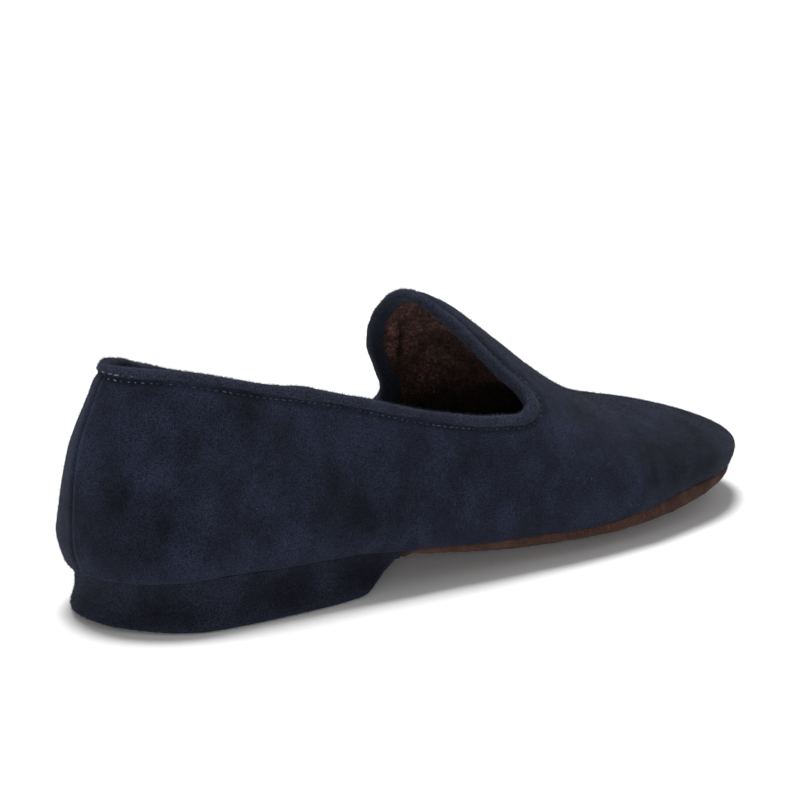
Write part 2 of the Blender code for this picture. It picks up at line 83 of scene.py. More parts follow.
# Ends of the last: how far along the heel and the toe curve in, and how round they are.
# The heel changes to the counter's values over COUNTER_RISE above its widest line.
HEEL_END = 0.115
HEEL_POWER = 2.05
COUNTER_END = 0.21
COUNTER_POWER = 1.95
COUNTER_RISE = 40.0
TOE_END = 0.28
TOE_POWER_IN = 2.4
TOE_POWER_OUT = 2.2
NOSE_POWER = 0.9

# The back leans forward above LEAN_FROM, and its lower edge turns in
LEAN = 15.5
LEAN_FROM = 36.0
LEAN_RISE = 50.0
LEAN_POWER = 1.9
BACK_TUCK = 5.0
BACK_SPAN = 0.30
TOE_TUCK = 4.0
TOE_SPAN = 0.20
END_FADE = 1.5

# Share of a half section below its widest line
V_SWELL = 0.25

# Side view of the opening's edge, from the back to the tip of the tongue, on the wearer's right.
# The left side is set back and set down by the last two columns.
Edge = namedtuple("Edge", "along height set_back set_down")
TOPLINE = [
    Edge(0.0, 85.8, 0.0, 0.0),
    Edge(20.0, 84.4, 0.0, 1.8),
    Edge(38.0, 81.3, 0.0, 3.7),
    Edge(57.0, 77.3, 0.0, 5.2),
    Edge(75.0, 73.8, 0.0, 6.5),
    Edge(95.0, 68.2, 1.0, 7.0),
    Edge(115.0, 61.8, 2.0, 6.6),
    Edge(131.0, 57.9, 4.0, 7.1),
    Edge(147.0, 55.1, 6.0, 8.8),
    Edge(157.5, 54.5, 7.5, 9.5),
    Edge(162.0, 56.5, 8.5, 9.0),
    Edge(160.5, 61.0, 10.3, 7.0),
    Edge(155.5, 66.5, 10.5, 5.5),
    Edge(150.5, 72.5, 10.3, 4.8),
    Edge(145.5, 80.0, 8.4, 4.8),
    Edge(140.8, 86.5, 4.6, 6.0),
    Edge(137.6, 91.0, 1.3, 4.2),
    Edge(136.4, 93.1, 0.0, 0.0),
]

# Soft sole: spread beyond the upper's lower edge in front of the heel, how far its middle hangs below
# its edge, and how thick its edge is
Sole = namedtuple("Sole", "along spread drop edge")
SOLE = [
    Sole(0.00, 0.2, 0.0, 2.6),
    Sole(0.20, 0.2, 0.0, 2.6),
    Sole(0.34, 0.2, 0.0, 2.6),
    Sole(0.371, 0.2, 0.0, 2.4),
    Sole(0.381, 0.2, 0.3, 1.5),
    Sole(0.40, 0.6, 1.2, 1.5),
    Sole(0.47, 0.6, 3.5, 1.9),
    Sole(0.53, 0.6, 5.2, 2.0),
    Sole(0.58, 0.6, 6.5, 2.1),
    Sole(0.63, 0.6, 6.7, 2.4),
    Sole(0.68, 0.6, 6.8, 3.2),
    Sole(0.735, 0.6, 7.5, 4.4),
    Sole(0.79, 0.6, 8.7, 5.4),
    Sole(0.84, 0.6, 7.6, 4.6),
    Sole(0.89, 0.6, 5.8, 3.2),
    Sole(0.95, 0.5, 2.6, 2.0),
    Sole(1.00, 0.3, 0.0, 1.2),
]
# Inside the heel's rim, as far forward as SEAT_END, the sole is drawn in
SEAT_SPREAD = -3.6
SEAT_END = 0.3733
SEAT_STEP = 0.0004
DISH_POWER = 3.0
WAIST_BACK = 0.34
WAIST_FRONT = 0.41
EDGE_ABOVE = 0.3
EDGE_POWER = 4
TIP_SPAN = 0.10

# Heel block: spread beyond the upper's lower edge at shares of its height, top to bottom
Flare = namedtuple("Flare", "height spread")
HEEL_FLARE = [
    Flare(1.00, 0.4),
    Flare(0.88, 0.0),
    Flare(0.70, -0.3),
    Flare(0.48, -0.1),
    Flare(0.30, 0.7),
    Flare(0.14, 1.5),
    Flare(0.04, 1.6),
    Flare(0.00, 0.9),
]

# The foot's own plan: spread added to the flare, in full at the floor and fading upwards
Foot = namedtuple("Foot", "along spread")
FOOT = [
    Foot(0.00, 0.0),
    Foot(0.03, -0.7),
    Foot(0.06, 0.6),
    Foot(0.09, 2.3),
    Foot(0.14, 3.5),
    Foot(0.21, 3.2),
    Foot(0.25, 2.5),
    Foot(0.285, 1.2),
    Foot(0.32, -1.2),
    Foot(0.38, -2.0),
]
FOOT_POWER = 1.6
BREAST_TOP = 107.0
BREAST_BOTTOM = 92.0
BREAST_BOW = 0.9
RIM_WIDTH = 2.4
HEEL_ROLL = 2.0
HEEL_ROLL_SPAN = 26.0

# The cover turns in under the heel around the top piece, a little above the floor
COVER_CLEAR = 0.4
COVER_TURN = 2.6
TOP_PIECE_BEVEL = 0.5

# Small step for slopes, the distance within which points are welded, and the shortest normal
SMALL = 1e-4
WELD_MM = 2e-3
SHORTEST = 1e-12

# Fineness of the meshes
EDGE_SAMPLES = 600
FINE_SAMPLES = 4000
CREASE_SAMPLES = 80
SEAM_ZONE = 8.0
SEAM_STEP = 0.35
MARK_CLEAR = 0.0015
LOOP_STATIONS = 640
LOOP_SIDES = 26
HEEL_RING = 90
HEEL_LEVELS = 36
HEEL_FOOT_LEVELS = 6
HEEL_FOOT_SHARE = 0.06
TOP_PIECE_LEVELS = 6
CROSS_ROWS = 24
BAND_ROWS = 8
BAND_BULGE = 0.12
SOLE_BACK_STATIONS = 40
SOLE_SEAT_STATIONS = 24
SOLE_WAIST_STATIONS = 36
SOLE_FRONT_STATIONS = 130
SOLE_ROWS = 64
FOOTBED_STATIONS = 150
FOOTBED_ROWS = 44

# Sheets of the upper: where they end under the binding, how far apart their stations are, and their
# points under the widest line, over it, and across the tongue and the vamp
Sheet = namedtuple("Sheet", "inset step under over roof")
SUEDE_SHEET = Sheet(2.4, 1.3, 14, 44, 34)
LINING_SHEET = Sheet(3.2, 2.0, 10, 36, 36)
UPPER_THICKNESS = 1.3
SHEET_GAP = 0.05
LINING_DEPTH = 2.9
MIDDLE_HEIGHT = 30.0

# Creases. places are u and v on the last, depth and width are millimetres.
Crease = namedtuple("Crease", "side places depth width")
CREASES = [
    Crease(-1, [(0.366, 0.300), (0.369, 0.231), (0.372, 0.183), (0.369, 0.128), (0.364, 0.060)], 0.80, 1.5),
    Crease(1, [(0.350, 0.280), (0.356, 0.220), (0.358, 0.160), (0.352, 0.080)], 0.45, 1.7),
    Crease(-1, [(0.600, 0.560), (0.590, 0.480), (0.575, 0.400), (0.560, 0.330)], 0.45, 5.0),
    Crease(1, [(0.570, 0.560), (0.565, 0.480), (0.550, 0.400), (0.540, 0.330)], 0.45, 5.0),
    Crease(-1, [(0.300, 0.420), (0.360, 0.400), (0.420, 0.400), (0.480, 0.430)], 0.60, 9.0),
    Crease(1, [(0.300, 0.420), (0.360, 0.390), (0.420, 0.390), (0.470, 0.420)], 0.60, 9.0),
]
SHOULDER = 0.35
CREASE_FADE = 0.7
LINING_FOLDS = [
    Crease(1, [(0.519, 0.760), (0.531, 0.689), (0.538, 0.629), (0.546, 0.575)], 1.2, 1.6),
    Crease(1, [(0.600, 0.780), (0.615, 0.767), (0.637, 0.745), (0.655, 0.700)], -1.2, 2.4),
    Crease(1, [(0.500, 0.740), (0.514, 0.690), (0.520, 0.640), (0.526, 0.590)], -1.6, 2.0),
    Crease(1, [(0.552, 0.720), (0.556, 0.660), (0.558, 0.600)], -1.2, 2.4),
    Crease(-1, [(0.520, 0.700), (0.540, 0.640), (0.560, 0.580)], -1.0, 2.4),
]

# Brushed places in the nap: darker where shade is below 0, lighter where it is above
# Most are tone of the brushed nap; the broad darker marks over the toe are painted shade on its shadowed
# side
Mark = namedtuple("Mark", "side u v size shade")
NAP_MARKS_AND_PAINTED_SHADE = [
    Mark(-1, 0.164, 0.563, 6.0, -0.30),
    Mark(-1, 0.019, 0.379, 7.0, -0.28),
    Mark(-1, 0.012, 0.279, 9.0, -0.26),
    Mark(-1, 0.056, 0.329, 8.0, -0.34),
    Mark(-1, 0.040, 0.273, 8.0, -0.20),
    Mark(-1, 0.132, 0.457, 6.0, -0.16),
    Mark(-1, 0.275, 0.313, 11.0, -0.30),
    Mark(-1, 0.335, 0.285, 9.0, -0.28),
    Mark(-1, 0.373, 0.393, 5.0, -0.20),
    Mark(-1, 0.439, 0.367, 4.0, -0.20),
    Mark(-1, 0.459, 0.164, 9.0, -0.22),
    Mark(-1, 0.553, 0.170, 8.0, -0.22),
    Mark(-1, 0.760, 0.435, 8.0, -0.22),
    Mark(-1, 0.675, 0.244, 4.0, -0.18),
    Mark(-1, 0.865, 0.491, 6.0, -0.20),
    Mark(-1, 0.150, 0.319, 9.0, -0.12),
    Mark(-1, 0.093, 0.503, 4.0, -0.18),
    Mark(-1, 0.249, 0.517, 9.0, 0.22),
    Mark(-1, 0.306, 0.475, 11.0, 0.22),
    Mark(-1, 0.200, 0.403, 5.0, 0.20),
    Mark(-1, 0.617, 0.515, 7.0, 0.40),
    Mark(-1, 0.172, 0.377, 8.0, 0.14),
    Mark(-1, 0.208, 0.220, 9.0, 0.14),
    Mark(-1, 0.083, 0.291, 7.0, 0.14),
    Mark(-1, 0.039, 0.559, 7.0, 0.14),
    Mark(-1, 0.478, 0.275, 8.0, 0.12),
    # Painted shade over the toe's shadowed side
    Mark(-1, 0.870, 0.300, 18.0, -0.32),
    Mark(-1, 0.800, 0.400, 14.0, -0.20),
    Mark(-1, 0.660, 0.580, 13.0, -0.22),
    Mark(-1, 0.728, 0.430, 11.0, -0.22),
    Mark(-1, 0.676, 0.540, 8.0, -0.10),
    Mark(-1, 0.960, 0.550, 12.0, -0.36),
    Mark(1, 0.950, 0.720, 14.0, -0.30),
    Mark(1, 0.110, 0.480, 9.0, -0.28),
    Mark(1, 0.240, 0.330, 11.0, -0.26),
    Mark(1, 0.300, 0.480, 10.0, 0.22),
    Mark(1, 0.420, 0.260, 9.0, -0.22),
    Mark(1, 0.560, 0.480, 8.0, 0.26),
    Mark(1, 0.720, 0.400, 10.0, -0.20),
]

# The same on the heel's cover, by place along and height
Spot = namedtuple("Spot", "along height size shade")
HEEL_SPOTS = [
    Spot(6.0, 12.0, 6.0, 0.20),
    Spot(17.0, 7.0, 7.0, -0.32),
    Spot(28.0, 13.0, 5.0, 0.18),
    Spot(39.0, 9.0, 8.0, 0.28),
    Spot(52.0, 13.0, 6.0, -0.20),
    Spot(64.0, 9.0, 8.0, -0.28),
    Spot(77.0, 6.0, 6.0, 0.14),
    Spot(93.0, 9.0, 10.0, -0.48),
]

# Shades of the nap, where EVEN_NAP is halfway between dark and light. The rest are painted light and shade:
# painted light on the binding's top and painted shade under it, painted light on the lining folds' ridges,
# painted shade in the folds and low inside the lining.
EVEN_NAP = 0.5
RIM_PAINTED_LIGHT = 0.40
RIM_PAINTED_SHADE = -0.1
FOLD_PAINTED_SHADE = 0.36
LINING_DEEP_PAINTED_SHADE = 0.15

# Soft unevenness of forms and shades in layers: how strong, the size of its lumps, and its seed
Lumps = namedtuple("Lumps", "height size seed")
UPPER_LUMPS = [Lumps(0.25, 45.0, 2), Lumps(0.05, 7.0, 3)]
GATHERS = [Lumps(0.12, 6.0, 5)]
PILE_LUMPS = [Lumps(0.45, 14.0, 11), Lumps(0.16, 3.4, 12)]
BINDING_LUMPS = [Lumps(0.10, 11.0, 21), Lumps(0.05, 3.5, 22)]
SOLE_LUMPS = [Lumps(0.10, 9.0, 41)]
FOOTBED_LUMPS = [Lumps(0.16, 3.4, 51), Lumps(0.25, 24.0, 52)]
HEEL_LUMPS = [Lumps(0.16, 14.0, 61), Lumps(0.05, 7.0, 62)]
UPPER_NAP = [Lumps(0.12, 20.0, 71), Lumps(0.05, 8.0, 72)]
BINDING_NAP = [Lumps(0.12, 20.0, 73), Lumps(0.05, 8.0, 74)]
HEEL_NAP = [Lumps(0.12, 20.0, 75), Lumps(0.05, 8.0, 76)]
WAVES = 9
WAVE_RANGE = (0.6, 1.6)

# Ridges, grooves, bands of fibres, and bands of painted light and painted shade: how strong, how far from
# their line, and how wide
Ridge = namedtuple("Ridge", "height at width")
SEAM_GROOVE = Ridge(-0.45, 0.0, 0.5)
SEAM_EDGE = Ridge(0.25, 2.2, 1.2)
STITCH_GROOVE = Ridge(-0.65, 0.0, 0.85)
STITCH_SWELL = Ridge(0.2275, 3.4, 1.87)
STITCH_PAINTED_SHADE = Ridge(-0.28, 0.0, 1.2)
RIM_ROLL = Ridge(0.35, 0.05, 0.04)
BACK_LIP = Ridge(0.55, 0.05, 0.04)
BACK_HOLLOW = Ridge(-0.25, 0.17, 0.06)
BACK_LIP_PAINTED_LIGHT = Ridge(0.35, 0.0, 0.1)
EDGE_FUZZ = Ridge(6.0, 0.0, 0.08)
HEEL_FOOT_PAINTED_LIGHT = Ridge(0.80, 0.0, 2.4)
HEEL_FOOT_FUZZ = Ridge(3.0, 0.0, 4.0)

# Gradual rises to 1: where they start, how long they are, and their least value
Ramp = namedtuple("Ramp", "start span least")
GATHER_RISE = Ramp(0.3, 0.1, 0.3)
PILE_CLEAR = Ramp(5.6, 3.0, 0.0)
PILE_SEEN = Ramp(25.0, 25.0, 0.15)
# Heights over which the painted shade low inside the lining fades out
LINING_PAINTED_SHADE_RAMP = Ramp(42.0, 14.0, 0.0)
HEEL_LOOSE = Ramp(0.6, 2.0, 0.0)

# Other forms of the pieces
SEAM_LEFT = 0.7
SEAM_REACH = 30.0
STITCH_PULL = 0.25
BACK_SIDE = 0.06
GATHER_FADE = 0.16
FOOTBED_INSET = 1.6
BREAST_ROUND = 2.3
BREAST_ROUND_SHARE = 0.18

# Binding: how much further down and in its foot reaches on the inside, and how much wider it is at
# the throat's corners
INNER_REACH = 3.6
INNER_PROUD = 1.2
CORNER_WIDE = 2.0
CORNER_SPAN = 7.0

# Lap in the binding on the right side
LAP_U = 0.250
LAP_HEIGHT = 74.0
LAP_RISE = 0.35
LAP_SIZE = 4.5

# Stitches. A row's stitches differ in place, tilt, length and height.
STITCH_INSET = 4.75
STITCH_LIFT = 0.12
STITCH_PITCH = 2.5
STITCH_LENGTH = 1.7
STITCH_RADIUS = 0.25
STITCH_SIDES = 6
STITCH_RINGS = 6
STITCH_POWER = 3
STITCH_THIN = 0.04
STITCH_DIVE = 0.9
STITCH_AHEAD = 0.4
STITCH_STRAY = 0.08
STITCH_TILT = 0.15
STITCH_LENGTHS = (0.78, 1.18)
STITCH_HEIGHTS = (-0.03, 0.11)
STITCH_SEED = 31
TACK_INSET = 0.7
TACK_LIFT = 0.9
TACK_START = 1.0
TACK_REACH = 12.0
INNER_ROW_AT = 1.3
INNER_ROW_SINK = 0.15

# Loose fibres: how many, how long and wide, how far they lean over, and their seed
Fuzz = namedtuple("Fuzz", "count short long thin thick lean seed")
SUEDE_FUZZ = Fuzz(36000, 0.40, 1.10, 0.03, 0.05, 0.9, 81)
PILE_FUZZ = Fuzz(30000, 0.9, 2.0, 0.09, 0.17, 1.3, 82)
RIM_FUZZ = Fuzz(12000, 0.45, 1.15, 0.04, 0.07, 0.8, 83)
HEEL_FUZZ = Fuzz(12000, 0.40, 1.00, 0.04, 0.06, 1.0, 84)
SOLE_FUZZ = Fuzz(8000, 0.25, 0.70, 0.03, 0.05, 1.0, 85)
FIBRE_POINTS = 4
# How much lighter loose fibres are painted than the surface under them: a painted highlight
FUZZ_PAINTED_LIGHT = 0.15
RIM_FUZZ_LEAST = 0.3

# Looks, as linear colours, with the strength of the grain and of the sheen
Look = namedtuple("Look", "dark light speck grain sheen sheen_tint")
NAVY_SHEEN = (0.50, 0.58, 0.80, 1.0)
PILE_SHEEN = (0.80, 0.60, 0.50, 1.0)
NAVY = Look(
    (0.0040, 0.0048, 0.0096, 1.0), (0.0143, 0.0179, 0.0362, 1.0), (0.056, 0.066, 0.096, 1.0),
    0.90, 0.05, NAVY_SHEEN,
)
BINDING_NAVY = Look(
    (0.0066, 0.0076, 0.0130, 1.0), (0.0222, 0.0260, 0.0440, 1.0), (0.070, 0.076, 0.100, 1.0),
    0.90, 0.07, NAVY_SHEEN,
)
HEEL_NAVY = Look(
    (0.0037, 0.0043, 0.0080, 1.0), (0.0140, 0.0162, 0.0300, 1.0), (0.055, 0.060, 0.082, 1.0),
    0.90, 0.05, NAVY_SHEEN,
)
SOLE_BROWN = Look(
    (0.028, 0.013, 0.010, 1.0), (0.075, 0.038, 0.029, 1.0), (0.110, 0.070, 0.055, 1.0),
    0.70, 0.04, (0.80, 0.62, 0.52, 1.0),
)
PILE_BROWN = Look(
    (0.024, 0.0098, 0.0086, 1.0), (0.070, 0.032, 0.0285, 1.0), (0.170, 0.096, 0.085, 1.0),
    0.90, 0.10, PILE_SHEEN,
)
PILE_TIPS = Look(
    (0.030, 0.013, 0.0118, 1.0), (0.205, 0.108, 0.100, 1.0), (0.360, 0.225, 0.200, 1.0),
    0.90, 0.10, PILE_SHEEN,
)
THREAD_DARK = (0.012, 0.014, 0.023, 1.0)
THREAD_LIGHT = (0.035, 0.040, 0.056, 1.0)
THREAD_PALE = (0.120, 0.155, 0.260, 1.0)
THREAD_PALE_SPAN = (-0.130, -0.105)
THREAD_ROUGH = 0.6
THREAD_SPECULAR = 0.3

# How strongly suede is brushed, and the finish of suede and pile
UPPER_BRUSH = 0.24
TRIM_BRUSH = 0.15
SOLE_BRUSH = 0.40
Finish = namedtuple("Finish", "rough specular sheen_rough")
SUEDE_FINISH = Finish(0.95, 0.12, 0.55)
PILE_FINISH = Finish(1.0, 0.08, 0.5)

# Patterns of the materials, as scales per metre. A span is the part of a noise that is used.
Noise = namedtuple("Noise", "scale detail rough distortion")
BRUSH_SCALE = (90.0, 90.0, 60.0)
BRUSH_NOISE = Noise(1.0, 5.0, 0.65, 0.8)
BRUSH_SPAN = (0.25, 0.75)
GRAIN_NOISE = Noise(2200.0, 2.0, 0.8, 0.0)
GRAIN_SPAN = (0.28, 0.72)
COARSE_NOISE = Noise(170.0, 3.0, 0.6, 0.0)
PATCH_NOISE = Noise(40.0, 3.0, 0.6, 0.8)
PATCH_SPAN = (0.34, 0.68)
CLUMP_NOISE = Noise(320.0, 2.0, 0.6, 0.5)
CLUMP_SPAN = (0.32, 0.68)
CLUMP_SHADE = (0.60, 1.40)
PILE_PAINTED_SHADE_RANGE = (0.1, 1.9)
TUFT_NOISE = Noise(800.0, 3.0, 0.7, 0.6)
TUFT_SPAN = (0.30, 0.72)
PILE_NOISE = Noise(160.0, 3.0, 0.6, 0.0)
THREAD_NOISE = Noise(240.0, 2.0, 0.5, 0.0)
THREAD_SPAN = (0.42, 0.62)
TWIST_NOISE = Noise(1600.0, 1.0, 0.5, 0.0)
Specks = namedtuple("Specks", "scale radius share")
SUEDE_SPECKS = Specks(210.0, 0.075, 0.12)
PILE_SPECKS = Specks(420.0, 0.10, 0.16)
SPECK_CORE = 0.5
Bump = namedtuple("Bump", "strength distance")
COARSE_BUMP = Bump(0.35, 0.0006)
GRAIN_BUMP = Bump(0.45, 0.0004)
PILE_BUMP = Bump(0.5, 0.0012)
TUFT_BUMP = Bump(0.8, 0.0009)
TWIST_BUMP = Bump(0.4, 0.0002)

# Stage. The overhead light is a wide soft one, the same all over the floor.
FLOOR_HALF = 6.0
FLOOR_Z = -0.0001
FLOOR_COLOUR = (0.95, 0.95, 0.95, 1.0)
FLOOR_ROUGH = 0.9
WHITE = (1.0, 1.0, 1.0, 1.0)
WORLD_STRENGTH = 0.32
OVERHEAD_STRENGTH = 2.9
OVERHEAD_ANGLE = 20.0
OVERHEAD_LEAN = (-11.0, 2.0)
OVERHEAD_PLACE = (0.0, 0.0, 1.0)
FILL_PLACE = (-1.30, -1.70, 0.34)
FILL_SIZE = 0.9
FILL_POWER = 20.0

# Camera
VIEW_AZIMUTH = -38.0
VIEW_ELEVATION = 14.5
VIEW_LENS = 129.01
VIEW_SENSOR = 36.0
VIEW_DISTANCE = 1.0
VIEW_AIM = (134.5, 0.0, 54.5)


def smooth(xs, ys, at):
    """Value of a smooth curve through the points (xs, ys)."""
    xs = np.asarray(xs, float)
    ys = np.asarray(ys, float)
    step = np.diff(xs)
    slope = np.diff(ys) / step
    tangent = np.concatenate([[slope[0]], np.zeros(len(xs) - 2), [slope[-1]]])
    tangent[1:-1] = (slope[:-1] * step[1:] + slope[1:] * step[:-1]) / (step[:-1] + step[1:])
    i = np.clip(np.searchsorted(xs, at, side="right") - 1, 0, len(step) - 1)
    t = (at - xs[i]) / step[i]
    start = (1 + 2 * t) * (1 - t) ** 2 * ys[i] + t * (1 - t) ** 2 * step[i] * tangent[i]
    end = t * t * (3 - 2 * t) * ys[i + 1] + t * t * (t - 1) * step[i] * tangent[i + 1]
    return start + end


def bell(distance, width):
    """1 at no distance, fading smoothly over a width."""
    return np.exp(-(distance / width) ** 2)


def raised(distance, ridge):
    """Strength of a ridge at a distance from its line."""
    return ridge.height * bell(distance - ridge.at, ridge.width)


def ramped(value, ramp):
    """A gradual rise to 1."""
    return np.clip((value - ramp.start) / ramp.span, ramp.least, 1)


def unit(vectors):
    """Vectors made one long."""
    return vectors / np.linalg.norm(vectors, axis=-1, keepdims=True)


def column(table, name, u):
    """One named column of a table, smoothed along the length."""
    return smooth([row.along for row in table], [getattr(row, name) for row in table], u)


def heel_round(u, above):
    """Share of the half width near the back of the heel, at a height above its widest line."""
    share = np.clip(above / COUNTER_RISE, 0, 1)
    end = HEEL_END + (COUNTER_END - HEEL_END) * share
    power = HEEL_POWER + (COUNTER_POWER - HEEL_POWER) * share
    s = np.clip(1 - u / end, 0, 1)
    return (1 - s ** power) ** (1 / power)


def toe_round(u):
    """Share of the half width near the toe."""
    s = np.clip((u - 1 + TOE_END) / TOE_END, 0, 1)
    return (1 - s ** TOE_POWER_IN) ** (1 / TOE_POWER_OUT)


def section_heights(u):
    """Height of the widest line and of the top of a section."""
    wide = column(LAST, "rise", u) + column(LAST, "swell", u)
    top = wide + (column(LAST, "crest", u) - wide) * toe_round(u) ** NOSE_POWER
    return wide, top


def last_point(u, side, v):
    """Point on the upper's outside: v is 0 at the lower edge and 1 on the top line."""
    u, v = np.broadcast_arrays(np.asarray(u, float), np.asarray(v, float))
    wide, top = section_heights(u)
    low = v < V_SWELL
    under = np.where(low, v / V_SWELL, 1) * np.pi / 2
    over = np.where(low, 0, (v - V_SWELL) / (1 - V_SWELL)) * np.pi / 2
    turn = np.where(low, 1 - np.sin(under), 0)
    dome = wide + (top - wide) * np.sin(over) ** (2 / column(LAST, "lean", u))
    z = np.where(low, wide - column(LAST, "swell", u) * np.cos(under), dome)
    width = column(LAST, "half", u) - column(LAST, "tuck", u) * turn
    width = width * heel_round(u, z - wide) * toe_round(u)
    y = width * np.cos(over) ** (2 / column(LAST, "round", u))
    lean = LEAN * (np.maximum(z - LEAN_FROM, 0) / LEAN_RISE) ** LEAN_POWER + BACK_TUCK * turn
    x = u * LENGTH + lean * np.clip(1 - u / BACK_SPAN, 0, 1) ** END_FADE
    x = x - TOE_TUCK * turn * np.clip((u - 1 + TOE_SPAN) / TOE_SPAN, 0, 1) ** END_FADE
    centre = column(LAST, "centre", u)
    axis = centre + (column(LAST, "ridge", u) - centre) * np.sin(over) ** 2
    return np.stack([x, axis + side * y, z], -1)


def share_at_height(u, z):
    """The v at which a section reaches a height above its widest line."""
    wide, top = section_heights(u)
    s = np.clip((z - wide) / (top - wide), 0, 1) ** (column(LAST, "lean", u) / 2)
    return V_SWELL + (1 - V_SWELL) * np.arcsin(s) / (np.pi / 2)


def opening_edge(side):
    """The opening's edge on one side as u and v, from the back seam to the tip of the tongue."""
    along = np.array([row.along - (row.set_back if side > 0 else 0) for row in TOPLINE])
    height = np.array([row.height - (row.set_down if side > 0 else 0) for row in TOPLINE])
    chord = np.sqrt(np.hypot(np.diff(along), np.diff(height)))
    knots = np.concatenate([[0], np.cumsum(chord)])
    at = np.linspace(0, knots[-1], EDGE_SAMPLES)
    u = smooth(knots, along, at) / LENGTH
    v = share_at_height(u, smooth(knots, height, at))
    v[-1] = 1.0
    return u, v


def inset_edge(side, inset):
    """The opening's edge moved down the surface by a distance."""
    u, v = opening_edge(side)
    inset = np.broadcast_to(inset, u.shape)
    if not inset.any():
        return u, v
    here = last_point(u, side, v)
    back_u = np.maximum(u - SMALL, 0)
    ahead_u = u + SMALL
    by_u = (last_point(ahead_u, side, v) - last_point(back_u, side, v)) / (ahead_u - back_u)[:, None]
    by_v = (here - last_point(u, side, v - SMALL)) / SMALL
    normal = np.cross(by_u, by_v)
    along = np.gradient(here, axis=0)
    away = unit(np.cross(along, normal)) * inset[:, None]
    uu = (by_u * by_u).sum(1)
    uv = (by_u * by_v).sum(1)
    vv = (by_v * by_v).sum(1)
    du = (by_u * away).sum(1)
    dv = (by_v * away).sum(1)
    det = uu * vv - uv * uv
    step_u = (du * vv - dv * uv) / det
    step_v = (dv * uu - du * uv) / det
    step_u[0] = 0
    step_v[0] = -inset[0] / np.sqrt(vv[0])
    step_v[-1] = 0
    return u + step_u, np.minimum(v + step_v, 1.0)


def spaced(start, end, count, first=True, last=True):
    """Values from start to end, closer together at the chosen ends."""
    t = np.linspace(0, 1, count + 1)
    if first and last:
        t = (1 - np.cos(np.pi * t)) / 2
    elif first:
        t = 1 - np.cos(np.pi * t / 2)
    elif last:
        t = np.sin(np.pi * t / 2)
    return start + (end - start) * t


def corner_swell(side):
    """How much wider the binding is along the opening's edge: 1 at the throat's corner, 0 away from it."""
    u, v = opening_edge(side)
    travel = path_length(last_point(u, side, v))
    return bell(travel - travel[np.argmax(u)], CORNER_SPAN)


def binding_path(inset, corner=0.0):
    """Points all round the opening at one inset, wider at the corners: right side, then back on the left."""
    halves = []
    for side in (-1, 1):
        u, v = inset_edge(side, inset + corner * corner_swell(side))
        halves.append(last_point(u, side, v))
    return np.concatenate([halves[0], halves[1][::-1][1:-1]])


def stitch_line():
    """Line of the stitches below the binding, all round the opening."""
    return binding_path(STITCH_INSET, CORNER_WIDE)


def plan(u, side, spread):
    """Plan of the upper's lower edge, moved outwards by a distance."""
    ahead = last_point(np.minimum(u + SMALL, 1), side, 0.0)[..., :2]
    behind = last_point(np.maximum(u - SMALL, 0), side, 0.0)[..., :2]
    way = unit(ahead - behind)
    outward = np.stack([-way[..., 1], way[..., 0]], -1) * side
    moved = last_point(u, side, 0.0)[..., :2] + outward * np.asarray(spread)[..., None]
    axis = column(LAST, "centre", u)
    at_end = (u <= 0) | (u >= 1) | ((moved[..., 1] - axis) * side < 0)
    moved[..., 1] = np.where(at_end, axis, moved[..., 1])
    return moved


def sole_edge_top(u):
    """Height of the sole's upper edge, just under the upper."""
    return column(LAST, "rise", u) - GAP


def sole_spread(u):
    """Spread of the sole beyond the upper's lower edge, drawn in where it lies inside the heel's rim."""
    return np.where(u < SEAT_END, SEAT_SPREAD, column(SOLE, "spread", u))


def dished(u, share):
    """How far the soft sole hangs below its edge at a share of its half width."""
    return column(SOLE, "drop", u) * (1 - np.abs(share) ** DISH_POWER)


def floor_roll(x):
    """How far the underside of the heel curves up at the back."""
    return HEEL_ROLL * np.clip(1 - x / HEEL_ROLL_SPAN, 0, 1) ** 2


def breast_reach(share):
    """How far forward the heel reaches at a share of its height, as u."""
    return (BREAST_BOTTOM + (BREAST_TOP - BREAST_BOTTOM) * share ** BREAST_BOW) / LENGTH


# Fine meshes

def weld(grids):
    """Points with their extra columns, and faces, of a set of grids with coincident points made one."""
    rows = []
    quads = []
    start = 0
    for grid in grids:
        down, across = grid.shape[:2]
        index = start + np.arange(down * across).reshape(down, across)
        rows.append(grid.reshape(down * across, -1))
        corners = [index[:-1, :-1], index[:-1, 1:], index[1:, 1:], index[1:, :-1]]
        quads.append(np.stack(corners, -1).reshape(-1, 4))
        start += down * across
    rows = np.concatenate(rows)
    key = np.round(rows[:, :3] / WELD_MM).astype(np.int64)
    first, inverse = np.unique(key, axis=0, return_index=True, return_inverse=True)[1:]
    return rows[first], inverse.reshape(-1)[np.concatenate(quads)]


def face_lists(quads):
    """Faces as lists of points, with repeated points and faces without area left out."""
    faces = []
    for quad in quads.tolist():
        face = [point for i, point in enumerate(quad) if point != quad[i - 1]]
        if len(set(face)) > 2:
            faces.append(face)
    return faces


def point_normals(points, quads):
    """Normals at the points, from the faces around them."""
    a, b, c, d = (points[corner] for corner in quads.T)
    across = np.cross(c - a, d - b)
    normals = np.zeros_like(points)
    for corner in quads.T:
        np.add.at(normals, corner, across)
    return normals / np.maximum(np.linalg.norm(normals, axis=1), SHORTEST)[:, None]


def open_edges(faces):
    """Edges that only one face uses, each in the direction of its face."""
    seen = {}
    for face in faces:
        for a, b in zip(face, face[1:] + face[:1]):
            seen[(a, b)] = True
    return [(a, b) for a, b in seen if (b, a) not in seen]


def closed_shell(outer, inner, faces):
    """Points and faces of a wall between two sheets with the same faces."""
    count = len(outer)
    back = [[point + count for point in reversed(face)] for face in faces]
    rim = [[b, a, a + count, b + count] for a, b in open_edges(faces)]
    return np.concatenate([outer, inner]), faces + back + rim


